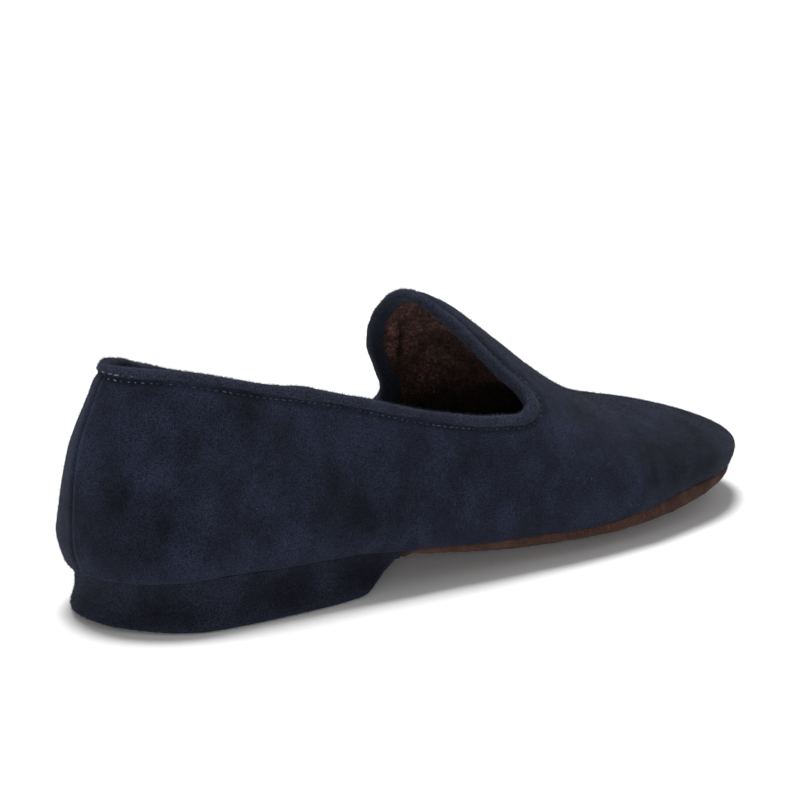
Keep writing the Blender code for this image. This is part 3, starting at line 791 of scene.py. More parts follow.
def volume(points, faces):
    """Signed volume of a closed mesh."""
    fans = [(face[0], face[i], face[i + 1]) for face in faces for i in range(1, len(face) - 1)]
    a, b, c = (points[corner] for corner in np.array(fans).T)
    return np.sum(a * np.cross(b, c)) / 6


def body_faces(points, quads):
    """Faces of a closed body, and its normals pointing outwards."""
    faces = face_lists(quads)
    return faces, point_normals(points, quads) * np.sign(volume(points, faces))


def into_frame(points):
    """Points in millimetres from the heel's back, as metres in the row frame."""
    return (points + SHIFT) * MM


def new_object(name, data):
    """A new object in the scene."""
    obj = bpy.data.objects.new(name, data)
    bpy.context.scene.collection.objects.link(obj)
    return obj


def add_piece(name, points, faces, material, nodes=(), nap_and_painted_light=EVEN_NAP):
    """A piece of the slipper that moves with it, in its material, in place of some nodes."""
    if volume(points, faces) < 0:
        faces = [face[::-1] for face in faces]
    mesh = bpy.data.meshes.new(name)
    mesh.from_pydata(into_frame(points).tolist(), [], faces)
    mesh.shade_smooth()
    mesh.materials.append(material)
    # Per-point tone: brushing together with the painted light and shade of each piece
    shades = mesh.attributes.new("nap_and_painted_light", "FLOAT", "POINT")
    shades.data.foreach_set("value", np.clip(np.broadcast_to(nap_and_painted_light, len(points)), 0, 1))
    obj = new_object(name, mesh)
    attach(obj, "root")
    if nodes:
        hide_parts(*nodes)
    return obj


def distance_to(points, path):
    """Distance of each point from a path, and which place on the path is nearest."""
    tree = KDTree(len(path))
    for i, point in enumerate(path):
        tree.insert(point, i)
    tree.balance()
    found = [tree.find(point) for point in points]
    return np.array([f[2] for f in found]), np.array([f[1] for f in found])


def path_length(path):
    """Distance travelled at each point of a path."""
    steps = np.linalg.norm(np.diff(path, axis=0), axis=1)
    return np.concatenate([[0], np.cumsum(steps)])


def along_path(at, travel, values):
    """Values that belong to the points of a path, at other distances travelled."""
    return np.stack([np.interp(at, travel, value) for value in values.T], -1)


def lumps(points, size, seed):
    """Smooth uneven values about -1 to 1 over points, with lumps of about one size."""
    rng = np.random.default_rng(seed)
    total = np.zeros(len(points))
    for _ in range(WAVES):
        way = unit(rng.normal(size=3)) * 2 * np.pi / size * rng.uniform(*WAVE_RANGE)
        total += np.sin(points @ way + rng.uniform(0, 2 * np.pi))
    return total / math.sqrt(WAVES)


def uneven(points, layers):
    """Layers of soft unevenness added up."""
    return sum(layer.height * lumps(points, layer.size, layer.seed) for layer in layers)


# The upper's outside and lining

def fine_stations(step, marks):
    """Stations about a step apart along the widest line, closer at the back seam, with marks among them."""
    u = spaced(0, 1, FINE_SAMPLES)
    arc = path_length(last_point(u, -1, V_SWELL))
    close = np.arange(0, SEAM_ZONE, SEAM_STEP)
    count = int((arc[-1] - SEAM_ZONE) / step)
    at = np.concatenate([close, np.linspace(SEAM_ZONE, arc[-1], count)])
    stations = np.interp(at, arc, u)
    stations[-1] = 1.0
    gap = np.min(np.abs(stations[:, None] - np.array(marks)[None, :]), axis=1)
    ends = (stations == 0) | (stations == 1)
    return np.union1d(stations[(gap > MARK_CLEAR) | ends], marks)


def with_place(u, side, v):
    """Points of the last with their u, side and v beside them."""
    u, v = np.broadcast_arrays(np.asarray(u, float), np.asarray(v, float))
    return np.concatenate([last_point(u, side, v), np.stack([u, np.full_like(u, side), v], -1)], -1)


def sheet_grids(sheet):
    """Grids of the last's surface below an inset of the opening, on both sides."""
    edges = {side: inset_edge(side, sheet.inset) for side in (-1, 1)}
    corner = {side: int(np.argmax(edges[side][0])) for side in edges}
    tip = edges[-1][0][-1]
    stations = fine_stations(sheet.step, [tip] + [edges[side][0][corner[side]] for side in edges])
    low = V_SWELL * np.linspace(0, 1, sheet.under)[:-1]
    share = np.linspace(0, 1, sheet.roof)
    grids = []
    for side, (u, v) in edges.items():
        k = corner[side]
        ridge = stations[(stations >= tip) & (stations <= u[k])]
        front = stations[stations >= u[k]]
        collar = np.interp(stations, u[:k + 1], v[:k + 1])
        high = V_SWELL + (collar[:, None] - V_SWELL) * np.linspace(0, 1, sheet.over)
        rows = np.concatenate([np.broadcast_to(low, (len(stations), len(low))), high], 1)
        wall = with_place(stations[:, None], side, rows)
        at = np.linspace(len(u) - 1, k, len(ridge))
        edge_u = np.interp(at, np.arange(len(u)), u)[:, None]
        edge_v = np.interp(at, np.arange(len(u)), v)[:, None]
        across = edge_u + (ridge[:, None] - edge_u) * share
        tongue = with_place(across, side, edge_v + (1 - edge_v) * share)
        cap = with_place(front[:, None], side, np.linspace(v[k], 1, sheet.roof)[None, :])
        for grid in (wall, tongue, cap):
            grids.append(grid if side > 0 else grid[:, ::-1])
    return grids


def crease_depth(points, crease):
    """Height of one crease over the surface: a soft trough with low shoulders, fading at both ends."""
    u, v = np.array(crease.places).T
    knots = np.arange(len(u), dtype=float)
    at = np.linspace(0, knots[-1], CREASE_SAMPLES)
    path = last_point(smooth(knots, u, at), crease.side, smooth(knots, v, at))
    distance, nearest = distance_to(points, path)
    fade = np.sin(np.pi * (nearest + 0.5) / CREASE_SAMPLES) ** CREASE_FADE
    shoulder = SHOULDER * bell(distance - 2 * crease.width, crease.width)
    return crease.depth * fade * (shoulder - bell(distance, crease.width))


def seam_relief(points, side):
    """Centre-back seam: a groove with a rolled edge on each side of it, lower on the left."""
    across = np.abs(points[:, 1])
    near_back = np.sqrt(np.clip((SEAM_REACH - points[:, 0]) / SEAM_REACH, 0, 1))
    edges = raised(across, SEAM_EDGE) * np.where(side < 0, 1.0, SEAM_LEFT)
    return near_back * (raised(across, SEAM_GROOVE) + edges)


def stitch_relief(points):
    """Surface drawn in along the stitches, a little more at each one, and swelling beside them."""
    path = stitch_line()
    distance, nearest = distance_to(points, path)
    travel = path_length(path)[nearest]
    pull = 1 - STITCH_PULL + STITCH_PULL * np.cos(2 * np.pi * travel / STITCH_PITCH)
    return raised(distance, STITCH_SWELL) + raised(distance, STITCH_GROOVE) * pull


def edge_relief(points, v, u):
    """Lower edge: a rolled rim, fuller at the back, and soft gathers where it is drawn over the sole."""
    back = bell(u, BACK_SIDE) * (raised(v, BACK_LIP) + raised(v, BACK_HOLLOW))
    gather = uneven(points, GATHERS) * bell(v, GATHER_FADE) * ramped(u, GATHER_RISE)
    return raised(v, RIM_ROLL) + back + gather


def upper_relief(points, u, side, v):
    """Height of the suede over the last: seams, edges, creases and soft unevenness."""
    relief = seam_relief(points, side) + edge_relief(points, v, u) + stitch_relief(points)
    for crease in CREASES:
        relief += crease_depth(points, crease)
    return relief + uneven(points, UPPER_LUMPS)


def upper_shade(points, u, v):
    """Nap of the upper: its brushed places, with painted shade over the toe among them, painted shade along
    the stitches and painted light on the lip at the back.
    """
    shade = EVEN_NAP + uneven(points, UPPER_NAP)
    for mark in NAP_MARKS_AND_PAINTED_SHADE:
        gap = np.linalg.norm(points - last_point(mark.u, mark.side, mark.v), axis=1)
        shade += mark.shade * bell(gap, mark.size)
    # Painted shade along the stitches' groove, and painted light on the lip at the back
    shade += raised(distance_to(points, stitch_line())[0], STITCH_PAINTED_SHADE)
    return shade + bell(u, BACK_SIDE) * raised(v, BACK_LIP_PAINTED_LIGHT)


def outward(points, quads):
    """Normals turned to point away from the middle of the slipper."""
    normals = point_normals(points, quads)
    middle = points * (1, 0, 0) + (0, 0, MIDDLE_HEIGHT)
    return normals * np.sign(np.sum((points - middle) * normals))


def scatter(points, normals, nap_and_painted_light, quads, weights, count, rng):
    """Random places on a mesh, their normals and their tone with its painted light and shade, by area and by
    weights at its points.
    """
    a, b, c, d = (points[corner] for corner in quads.T)
    area = np.linalg.norm(np.cross(c - a, d - b), axis=1) * weights[quads].mean(1)
    picked = rng.choice(len(quads), count, p=area / area.sum())
    s, t = rng.random((2, count, 1))
    chosen = quads[picked]

    def blend(values):
        lower = values[chosen[:, 0]] * (1 - s) + values[chosen[:, 1]] * s
        upper = values[chosen[:, 3]] * (1 - s) + values[chosen[:, 2]] * s
        return lower * (1 - t) + upper * t

    return [blend(values) for values in (points, normals, nap_and_painted_light[:, None])]


def fibres(roots, normals, fuzz, rng):
    """Points and faces of short pointed fibres, each closed, with three corners and a tip."""
    count = len(roots)
    way = unit(normals + rng.normal(0, fuzz.lean / 2, (count, 3)))
    side = unit(np.cross(way, rng.normal(size=(count, 3))))
    other = np.cross(way, side)
    width = rng.uniform(fuzz.thin, fuzz.thick, (count, 1))
    length = rng.uniform(fuzz.short, fuzz.long, (count, 1))
    corners = []
    for turn in (0.0, 2 * np.pi / 3, 4 * np.pi / 3):
        corners.append(roots - way * width + (side * math.cos(turn) + other * math.sin(turn)) * width)
    points = np.stack(corners + [roots + way * length], 1).reshape(-1, 3)
    base = FIBRE_POINTS * np.arange(count)[:, None]
    faces = np.concatenate([base + face for face in ([0, 2, 1], [0, 1, 3], [1, 2, 3], [2, 0, 3])])
    return points, faces.tolist()


def add_fuzz(name, points, normals, nap_and_painted_light, quads, weights, fuzz, material):
    """A piece of loose fibres standing on a mesh and above the floor, painted a little lighter than the
    surface below as a painted highlight.
    """
    rng = np.random.default_rng(fuzz.seed)
    roots, ways, shades = scatter(points, normals, nap_and_painted_light, quads, weights, fuzz.count, rng)
    fibre_points, faces = fibres(roots, ways, fuzz, rng)
    fibre_points[:, 2] = np.maximum(fibre_points[:, 2], 0.0)
    fibre_nap_and_painted_light = np.repeat(shades[:, 0] + FUZZ_PAINTED_LIGHT, FIBRE_POINTS)
    add_piece(name, fibre_points, faces, material, nap_and_painted_light=fibre_nap_and_painted_light)


def make_upper(material):
    """Suede outside: a closed thin wall with seams, gathers and creases in its form."""
    rows, quads = weld(sheet_grids(SUEDE_SHEET))
    points = rows[:, :3]
    u, side, v = rows[:, 3:].T
    normals = outward(points, quads)
    outer = points + normals * upper_relief(points, u, side, v)[:, None]
    inner = points - normals * UPPER_THICKNESS
    shell, faces = closed_shell(outer, inner, face_lists(quads))
    nap_and_painted_light = upper_shade(points, u, v)
    shown = 1 + raised(v, EDGE_FUZZ)
    add_fuzz("upper_fuzz", outer, normals, nap_and_painted_light, quads, shown, SUEDE_FUZZ, material)
    add_piece("upper_suede", shell, faces, material, ["upper"], np.tile(nap_and_painted_light, 2))


def lining_shade(points, folds):
    """Nap of the lining: painted shade in its folds, painted light on their ridges, and painted shade low
    down inside the slipper.
    """
    # Painted shade low inside the lining, fading out higher up
    light = LINING_DEEP_PAINTED_SHADE + (1 - LINING_DEEP_PAINTED_SHADE) * ramped(points[:, 2], LINING_PAINTED_SHADE_RAMP)
    return (EVEN_NAP + FOLD_PAINTED_SHADE * folds) * light


def make_lining(material, tips):
    """Pile lining: a thick soft wall inside the suede, with its folds beside the tongue."""
    rows, quads = weld(sheet_grids(LINING_SHEET))
    points = rows[:, :3]
    normals = outward(points, quads)
    folds = sum(crease_depth(points, crease) for crease in LINING_FOLDS)
    clear = ramped(distance_to(points, binding_path(0))[0], PILE_CLEAR)
    relief = (uneven(points, PILE_LUMPS) + folds) * clear
    outer = points - normals * (UPPER_THICKNESS + SHEET_GAP)
    inner = points - normals * (LINING_DEPTH + relief)[:, None]
    shell, faces = closed_shell(outer, inner, face_lists(quads))
    nap_and_painted_light = lining_shade(points, folds)
    seen = ramped(points[:, 2], PILE_SEEN) * clear
    add_fuzz("pile_fibres", inner, -normals, nap_and_painted_light, quads, seen, PILE_FUZZ, tips)
    add_piece("pile_lining", shell, faces, material, nap_and_painted_light=np.tile(nap_and_painted_light, 2))


# Binding and stitches

def loop_frame():
    """Points, directions, width and travel along the binding's middle line."""
    rim = binding_path(0)
    foot = binding_path(BINDING_WIDTH, CORNER_WIDE)
    middle = (rim + foot) / 2
    down = foot - rim
    width = np.linalg.norm(down, axis=1)[:, None]
    down = down / width
    along = np.roll(middle, -2, axis=0) - np.roll(middle, 2, axis=0)
    out = unit(np.cross(down, along))
    travel = path_length(np.concatenate([middle, middle[:1]]))
    return middle, down, out, width, travel


def resample_loop(values, travel, count):
    """Values of a closed loop at evenly spaced places."""
    at = np.linspace(0, travel[-1], count + 1)[:-1]
    return along_path(at, travel, np.concatenate([values, values[:1]]))


def rounded(wave):
    """A wave made fuller or flatter, for a rounded section."""
    return np.sign(wave) * np.abs(wave) ** BINDING_ROUND


def make_binding(material):
    """Rolled suede strip round the opening, uneven by hand and lapped at one place."""
    *parts, travel = loop_frame()
    middle, down, out, width = (resample_loop(part, travel, LOOP_STATIONS) for part in parts)
    centre = middle - out * WALL / 2
    turn = np.linspace(0, 2 * np.pi, LOOP_SIDES + 1)
    inner_foot = np.clip(-np.cos(turn), 0, 1) * np.clip(-np.sin(turn), 0, 1)
    high = rounded(np.cos(turn)) * BINDING_WIDTH / 2 - INNER_REACH * inner_foot
    wide = rounded(np.sin(turn)) * BINDING_THICKNESS / 2 - INNER_PROUD * inner_foot
    down = down * width / BINDING_WIDTH
    grid = centre[:, None] - down[:, None] * high[None, :, None] + out[:, None] * wide[None, :, None]
    rows, quads = weld([np.concatenate([grid, grid[:1]])])
    faces, normals = body_faces(rows, quads)
    lap = last_point(LAP_U, -1, share_at_height(LAP_U, LAP_HEIGHT))
    gap = np.linalg.norm(rows - lap, axis=1)
    relief = uneven(rows, BINDING_LUMPS) + LAP_RISE * np.exp(-(gap / LAP_SIZE) ** 4)
    points = rows + normals * relief[:, None]
    # Painted light on the binding's upward faces and painted shade on its downward faces, set by the way
    # each face points
    nap_and_painted_light = EVEN_NAP + uneven(rows, BINDING_NAP) + RIM_PAINTED_LIGHT * np.clip(normals[:, 2], RIM_PAINTED_SHADE, 1)
    tops = RIM_FUZZ_LEAST + np.clip(normals[:, 2], 0, 1)
    add_fuzz("binding_fuzz", points, normals, nap_and_painted_light, quads, tops, RIM_FUZZ, material)
    add_piece("binding_roll", points, faces, material, ["topline_binding"], nap_and_painted_light)


def stitch_mesh(centre, along, out, length):
    """Points and faces of one stitch: a thread that dives in at both ends."""
    side = np.cross(along, out)
    turn = np.linspace(0, 2 * np.pi, STITCH_SIDES + 1)[:-1]
    ring = np.outer(np.cos(turn), side) + np.outer(np.sin(turn), out)
    points = []
    for t in np.linspace(-1, 1, STITCH_RINGS):
        swell = STITCH_RADIUS * math.sqrt(max(1 - abs(t) ** STITCH_POWER, STITCH_THIN))
        middle = centre + along * t * length / 2 - out * STITCH_RADIUS * STITCH_DIVE * t * t
        points.append(middle + ring * swell)
    faces = []
    for a in range(0, (STITCH_RINGS - 1) * STITCH_SIDES, STITCH_SIDES):
        b = a + STITCH_SIDES
        for j in range(STITCH_SIDES):
            k = (j + 1) % STITCH_SIDES
            faces.append([a + j, a + k, b + k, b + j])
    faces.append(list(range(STITCH_SIDES))[::-1])
    faces.append([(STITCH_RINGS - 1) * STITCH_SIDES + j for j in range(STITCH_SIDES)])
    return np.concatenate(points), faces


def stitch_row(path, outs, rng, first=0.0, last=None):
    """Points and faces of a row of stitches along a path, none of them quite alike."""
    travel = path_length(path)
    stitches = []
    for at in np.arange(first, last or travel[-1], STITCH_PITCH):
        at = at + rng.normal(0, STITCH_STRAY) * STITCH_PITCH
        here = along_path(at, travel, path)
        along = unit(along_path(at + STITCH_AHEAD, travel, path) - here)
        out = along_path(at, travel, outs)
        out = unit(out - along * np.dot(out, along))
        tilt = np.cross(out, along) * rng.normal(0, STITCH_TILT)
        length = STITCH_LENGTH * rng.uniform(*STITCH_LENGTHS)
        here = here + out * rng.normal(*STITCH_HEIGHTS)
        stitches.append(stitch_mesh(here, along + tilt, out, length))
    return join(stitches)


def join(parts):
    """Several sets of points and faces as one."""
    points = []
    faces = []
    start = 0
    for part_points, part_faces in parts:
        points.append(part_points)
        faces += [[i + start for i in face] for face in part_faces]
        start += len(part_points)
    return np.concatenate(points), faces


def stitch_path(out):
    """Path of the stitches below the binding, lying on the suede's relief."""
    halves = []
    for side in (-1, 1):
        u, v = inset_edge(side, STITCH_INSET + CORNER_WIDE * corner_swell(side))
        halves.append(np.column_stack([u, np.full_like(u, side), v]))
    u, side, v = np.concatenate([halves[0], halves[1][::-1][1:-1]]).T
    points = stitch_line()
    return points + out * (upper_relief(points, u, side, v) + STITCH_LIFT)[:, None]


def make_stitches(material):
    """Rows of thread: below the binding all round, doubled at the back, and on the binding's inside."""
    rng = np.random.default_rng(STITCH_SEED)
    middle, down, out = loop_frame()[:3]
    rows = [stitch_row(stitch_path(out), out, rng)]
    lift = (BINDING_THICKNESS - WALL) / 2 * TACK_LIFT
    tack = middle + down * (BINDING_WIDTH / 2 - TACK_INSET) + out * lift
    for path, outs in ((tack, out), (tack[::-1], out[::-1])):
        rows.append(stitch_row(path, outs, rng, TACK_START, TACK_REACH))
    inside = middle + down * INNER_ROW_AT - out * (WALL / 2 + BINDING_THICKNESS / 2 - INNER_ROW_SINK)
    rows.append(stitch_row(inside, -out, rng))
    points, faces = join(rows)
    add_piece("binding_stitches", points, faces, material)


# Sole, heel and footbed

def edge_band(stations, side, spread, high, low):
    """Rounded side of a plate between its upper and lower rims."""
    rows = []
    for t in np.linspace(0, 1, BAND_ROWS)[1:-1]:
        bulge = BAND_BULGE * (high - low) * math.sin(np.pi * t)
        rows.append(np.column_stack([plan(stations, side, spread + bulge), high + (low - high) * t]))
    return np.stack(rows, 1)


def plate(stations, spread, top, bottom, shares):
    """Points and quads of a plate across the plan of the upper's lower edge."""
    right = plan(stations, -1, spread)
    left = plan(stations, 1, spread)
    across = right[:, None] + (left - right)[:, None] * (shares[None, :, None] + 1) / 2
    u = stations[:, None]
    over = np.concatenate([across, top(u, shares[None, :])[..., None]], -1)
    under = np.concatenate([across, bottom(u, shares[None, :])[..., None]], -1)
    left_band = edge_band(stations, 1, spread, over[:, -1, 2], under[:, -1, 2])
    right_band = edge_band(stations, -1, spread, over[:, 0, 2], under[:, 0, 2])
    return weld([np.concatenate([over, left_band, under[:, ::-1], right_band[:, ::-1], over[:, :1]], 1)])


def edge_shares(count):
    """Shares across a half width each way, closer together at the edges."""
    return np.sin(np.linspace(-np.pi / 2, np.pi / 2, count))


def near_edge(u, share):
    """How close a place on the sole is to its edge: 1 at the sides and the tip, 0 in the middle."""
    tip = np.clip((u - 1 + TIP_SPAN) / TIP_SPAN, 0, 1) ** 2
    return 1 - (1 - np.abs(share) ** EDGE_POWER) * (1 - tip)


def make_outsole(material):
    """Soft brown sole: dished, its edge turned up to the upper, its napped side slightly uneven."""
    back = spaced(0, WAIST_BACK, SOLE_BACK_STATIONS, last=False)
    seat = np.linspace(WAIST_BACK, SEAT_END - SEAT_STEP, SOLE_SEAT_STATIONS)
    waist = np.linspace(SEAT_END + SEAT_STEP, WAIST_FRONT, SOLE_WAIST_STATIONS)
    front = spaced(WAIST_FRONT, 1, SOLE_FRONT_STATIONS, first=False)
    stations = np.concatenate([back, seat[1:], waist, front[1:]])

    def top(u, t):
        return sole_edge_top(u) + GAP - dished(u, t)

    def bottom(u, t):
        thinner = (SOLE_THICKNESS - EDGE_ABOVE - column(SOLE, "edge", u)) * near_edge(u, t)
        return np.maximum(top(u, t) - GAP - SOLE_THICKNESS + thinner, 0.0)

    points, quads = plate(stations, sole_spread(stations), top, bottom, edge_shares(SOLE_ROWS))
    faces, normals = body_faces(points, quads)
    moved = points + normals * uneven(points, SOLE_LUMPS)[:, None]
    moved[:, 2] = np.maximum(moved[:, 2], 0.0)
    nap_and_painted_light = np.full(len(moved), EVEN_NAP)
    shown = np.clip(1 - np.abs(normals[:, 2]), 0, 1) * (points[:, 0] > BREAST_TOP)
    add_fuzz("sole_fuzz", moved, normals, nap_and_painted_light, quads, shown, SOLE_FUZZ, material)
    add_piece("sole_suede", moved, faces, material, ["outsole"], nap_and_painted_light)


def make_insole(material):
    """Pile footbed, trodden uneven, its edge tucked under the lining."""
    stations = spaced(0, 1, FOOTBED_STATIONS)

    def bottom(u, t):
        return sole_edge_top(u) - dished(u, t) + GAP

    def top(u, t):
        return bottom(u, t) + INSOLE_THICKNESS

    spread = np.full_like(stations, -FOOTBED_INSET)
    points, quads = plate(stations, spread, top, bottom, edge_shares(FOOTBED_ROWS))
    faces, normals = body_faces(points, quads)
    moved = points + normals * uneven(points, FOOTBED_LUMPS)[:, None]
    return add_piece("pile_footbed", moved, faces, material, ["insole"])


def heel_ring(reach, spread, height, foot=0.0):
    """One outline of the heel, with a share of the foot's plan: right side forwards, then left side back."""
    ring = []
    for side in (-1, 1):
        u = spaced(0, reach, HEEL_RING, last=False)
        xy = plan(u, side, spread + foot * column(FOOT, "spread", u))
        points = np.column_stack([xy, height(u, xy[:, 0])])
        ring.append(points if side < 0 else points[::-1])
    return np.concatenate(ring)


def cross_grid(ring):
    """Grid of points across a ring, between its right and left sides."""
    half = len(ring) // 2
    right, left = ring[:half], ring[half:][::-1]
    share = np.linspace(0, 1, CROSS_ROWS)
    return right[:, None] + (left - right)[:, None] * share[None, :, None]


def close_rings(rings):
    """Points and quads of a closed body from rings, with a sheet across its first and last ring."""
    half = len(rings[0]) // 2
    right = np.stack([ring[:half] for ring in rings])
    left = np.stack([ring[half:] for ring in rings])
    front = np.stack([np.linspace(ring[half - 1], ring[half], CROSS_ROWS) for ring in rings])
    return weld([right, left, front, cross_grid(rings[0]), cross_grid(rings[-1])])


def above_floor(rise):
    """Heights at a rise above the heel's curved underside."""
    return lambda u, x: rise + floor_roll(x)


def below_edge(drop):
    """Heights at a drop below the sole's upper edge."""
    return lambda u, x: sole_edge_top(u) - drop


def cover_height(share):
    """Heights at a share of the way up the heel's cover."""
    foot = above_floor(COVER_CLEAR)
    rim = below_edge(0.0)
    return lambda u, x: foot(u, x) + (rim(u, x) - foot(u, x)) * share


def breast_round(share):
    """How far the lower corner of the heel's front is rounded off, as u."""
    return BREAST_ROUND * max(1 - share / BREAST_ROUND_SHARE, 0) ** 2 / LENGTH


def cover_reach():
    """How far forward the top piece's recess reaches, as u."""
    return breast_reach(0.0) - COVER_TURN / LENGTH


def heel_rings():
    """Outlines of the heel from its seat up over the rim, down its side and into the recess below."""
    flare = HEEL_FLARE[::-1]
    inner = HEEL_FLARE[0].spread - RIM_WIDTH
    turned = HEEL_FLARE[-1].spread - COVER_TURN
    seat = below_edge(SOLE_THICKNESS + GAP)
    rings = [heel_ring(breast_reach(1.0), inner, height) for height in (seat, below_edge(0.0))]
    side = np.linspace(1, HEEL_FOOT_SHARE, HEEL_LEVELS)
    foot = np.linspace(HEEL_FOOT_SHARE, 0, HEEL_FOOT_LEVELS)[1:]
    for share in np.concatenate([side, foot]):
        spread = float(smooth([row.height for row in flare], [row.spread for row in flare], share))
        reach = breast_reach(share) - breast_round(share)
        rings.append(heel_ring(reach, spread, cover_height(share), (1 - share) ** FOOT_POWER))
    for rise in (COVER_CLEAR, TOP_PIECE + GAP):
        rings.append(heel_ring(cover_reach(), turned, above_floor(rise), 1.0))
    return rings


def heel_shade(points):
    """Nap of the heel's cover: painted light along its foot, with its brushed places."""
    # Painted light along the heel's lower edge
    nap_and_painted_light = EVEN_NAP + uneven(points, HEEL_NAP) + raised(points[:, 2], HEEL_FOOT_PAINTED_LIGHT)
    for spot in HEEL_SPOTS:
        gap = np.hypot(points[:, 0] - spot.along, points[:, 2] - spot.height)
        nap_and_painted_light += spot.shade * bell(gap, spot.size)
    return nap_and_painted_light


def make_heel(material):
    """Covered heel block: waisted, flared at the foot, its cover slightly loose and turned in below."""
    points, quads = close_rings(heel_rings())
    faces, normals = body_faces(points, quads)
    relief = uneven(points, HEEL_LUMPS) * ramped(points[:, 2], HEEL_LOOSE)
    moved = points + normals * relief[:, None]
    nap_and_painted_light = heel_shade(points)
    shown = np.clip(1 - np.abs(normals[:, 2]), 0, 1) * (1 + raised(points[:, 2], HEEL_FOOT_FUZZ))
    add_fuzz("heel_fuzz", moved, normals, nap_and_painted_light, quads, shown, HEEL_FUZZ, material)
    add_piece("heel_cover", moved, faces, material, ["heel"], nap_and_painted_light)


def make_top_piece(material):
    """Thin suede wearing layer under the heel, inside the cover's turned edge."""
    reach = cover_reach() - GAP / LENGTH
    spread = HEEL_FLARE[-1].spread - COVER_TURN - GAP
    rings = [heel_ring(reach, spread, above_floor(TOP_PIECE), 1.0)]
    for t in np.linspace(0, 1, TOP_PIECE_LEVELS):
        inset = TOP_PIECE_BEVEL * (1 - math.sqrt(1 - t * t))
        rings.append(heel_ring(reach, spread - inset, above_floor(TOP_PIECE_BEVEL * (1 - t)), 1.0))
    points, quads = close_rings(rings)
    add_piece("heel_wear_layer", points, face_lists(quads), material, ["heel_top_piece"])


# Materials

def new_material(name):
    """An empty node material with its tree and its shader."""
    material = bpy.data.materials.new(name)
    material.use_nodes = True
    return material, material.node_tree, material.node_tree.nodes["Principled BSDF"]


def feed(tree, socket, value):
    """Set a socket to a number or colour, or link it to another socket."""
    if isinstance(value, bpy.types.NodeSocket):
        tree.links.new(value, socket)
    else:
        socket.default_value = value


def add_node(tree, kind, inputs):
    """A shader node with its named inputs set or linked."""
    node = tree.nodes.new(kind)
    for name, value in inputs.items():
        feed(tree, node.inputs[name], value)
    return node


def object_coords(tree):
    """Coordinates on the piece, in metres."""
    return tree.nodes.new("ShaderNodeTexCoord").outputs["Object"]


def nap_and_painted_light_value(tree):
    """Tone kept at the points of a mesh: brushing, with the painted light and shade of each piece."""
    node = tree.nodes.new("ShaderNodeAttribute")
    node.attribute_name = "nap_and_painted_light"
    return node.outputs["Fac"]


def noise(tree, coords, kind):
    """Factor of a noise over coordinates in metres."""
    inputs = {"Vector": coords, "Scale": kind.scale, "Detail": kind.detail}
    inputs.update({"Roughness": kind.rough, "Distortion": kind.distortion})
    return add_node(tree, "ShaderNodeTexNoise", inputs).outputs["Fac"]


def ranged(tree, value, span, to=(0.0, 1.0)):
    """A value carried smoothly from one range into another."""
    inputs = {"Value": value, "From Min": span[0], "From Max": span[1], "To Min": to[0], "To Max": to[1]}
    node = add_node(tree, "ShaderNodeMapRange", inputs)
    node.interpolation_type = "SMOOTHSTEP"
    return node.outputs["Result"]


def math_node(tree, kind, a, b):
    """Two values, or a value and a number, put together."""
    node = tree.nodes.new("ShaderNodeMath")
    node.operation = kind
    for socket, value in zip(node.inputs, (a, b)):
        feed(tree, socket, value)
    return node.outputs["Value"]


def mixed(tree, factor, first, second, kind="MIX"):
    """Two colours mixed by a factor."""
    node = tree.nodes.new("ShaderNodeMix")
    node.data_type = "RGBA"
    node.blend_type = kind
    sockets = {socket.identifier: socket for socket in node.inputs}
    for name, value in (("Factor_Float", factor), ("A_Color", first), ("B_Color", second)):
        feed(tree, sockets[name], value)
    return next(socket for socket in node.outputs if socket.identifier == "Result_Color")


def varied(tree, colour, value, span, to):
    """A colour made darker and lighter by a value."""
    return mixed(tree, 1.0, colour, ranged(tree, value, span, to), "MULTIPLY")


def bumped(tree, height, bump, inputs):
    """A normal raised by a height, over another normal if its inputs name one."""
    inputs = {"Height": height, "Strength": bump.strength, "Distance": bump.distance, **inputs}
    return add_node(tree, "ShaderNodeBump", inputs).outputs["Normal"]


def speck_mask(tree, coords, specks):
    """Small round specks in a share of the cells of a random pattern."""
    cells = add_node(tree, "ShaderNodeTexVoronoi", {"Vector": coords, "Scale": specks.scale})
    split = add_node(tree, "ShaderNodeSeparateColor", {"Color": cells.outputs["Color"]})
    chosen = math_node(tree, "GREATER_THAN", split.outputs["Red"], 1.0 - specks.share)
    span = (specks.radius * SPECK_CORE, specks.radius)
    return math_node(tree, "MULTIPLY", chosen, ranged(tree, cells.outputs["Distance"], span, (1.0, 0.0)))


def dress(tree, shader, look, finish, colour, normal):
    """Give a shader its colour, normal, roughness and sheen."""
    inputs = {
        "Base Color": colour,
        "Normal": normal,
        "Roughness": finish.rough,
        "Specular IOR Level": finish.specular,
        "Sheen Weight": look.sheen,
        "Sheen Roughness": finish.sheen_rough,
        "Sheen Tint": look.sheen_tint,
    }
    for name, value in inputs.items():
        feed(tree, shader.inputs[name], value)


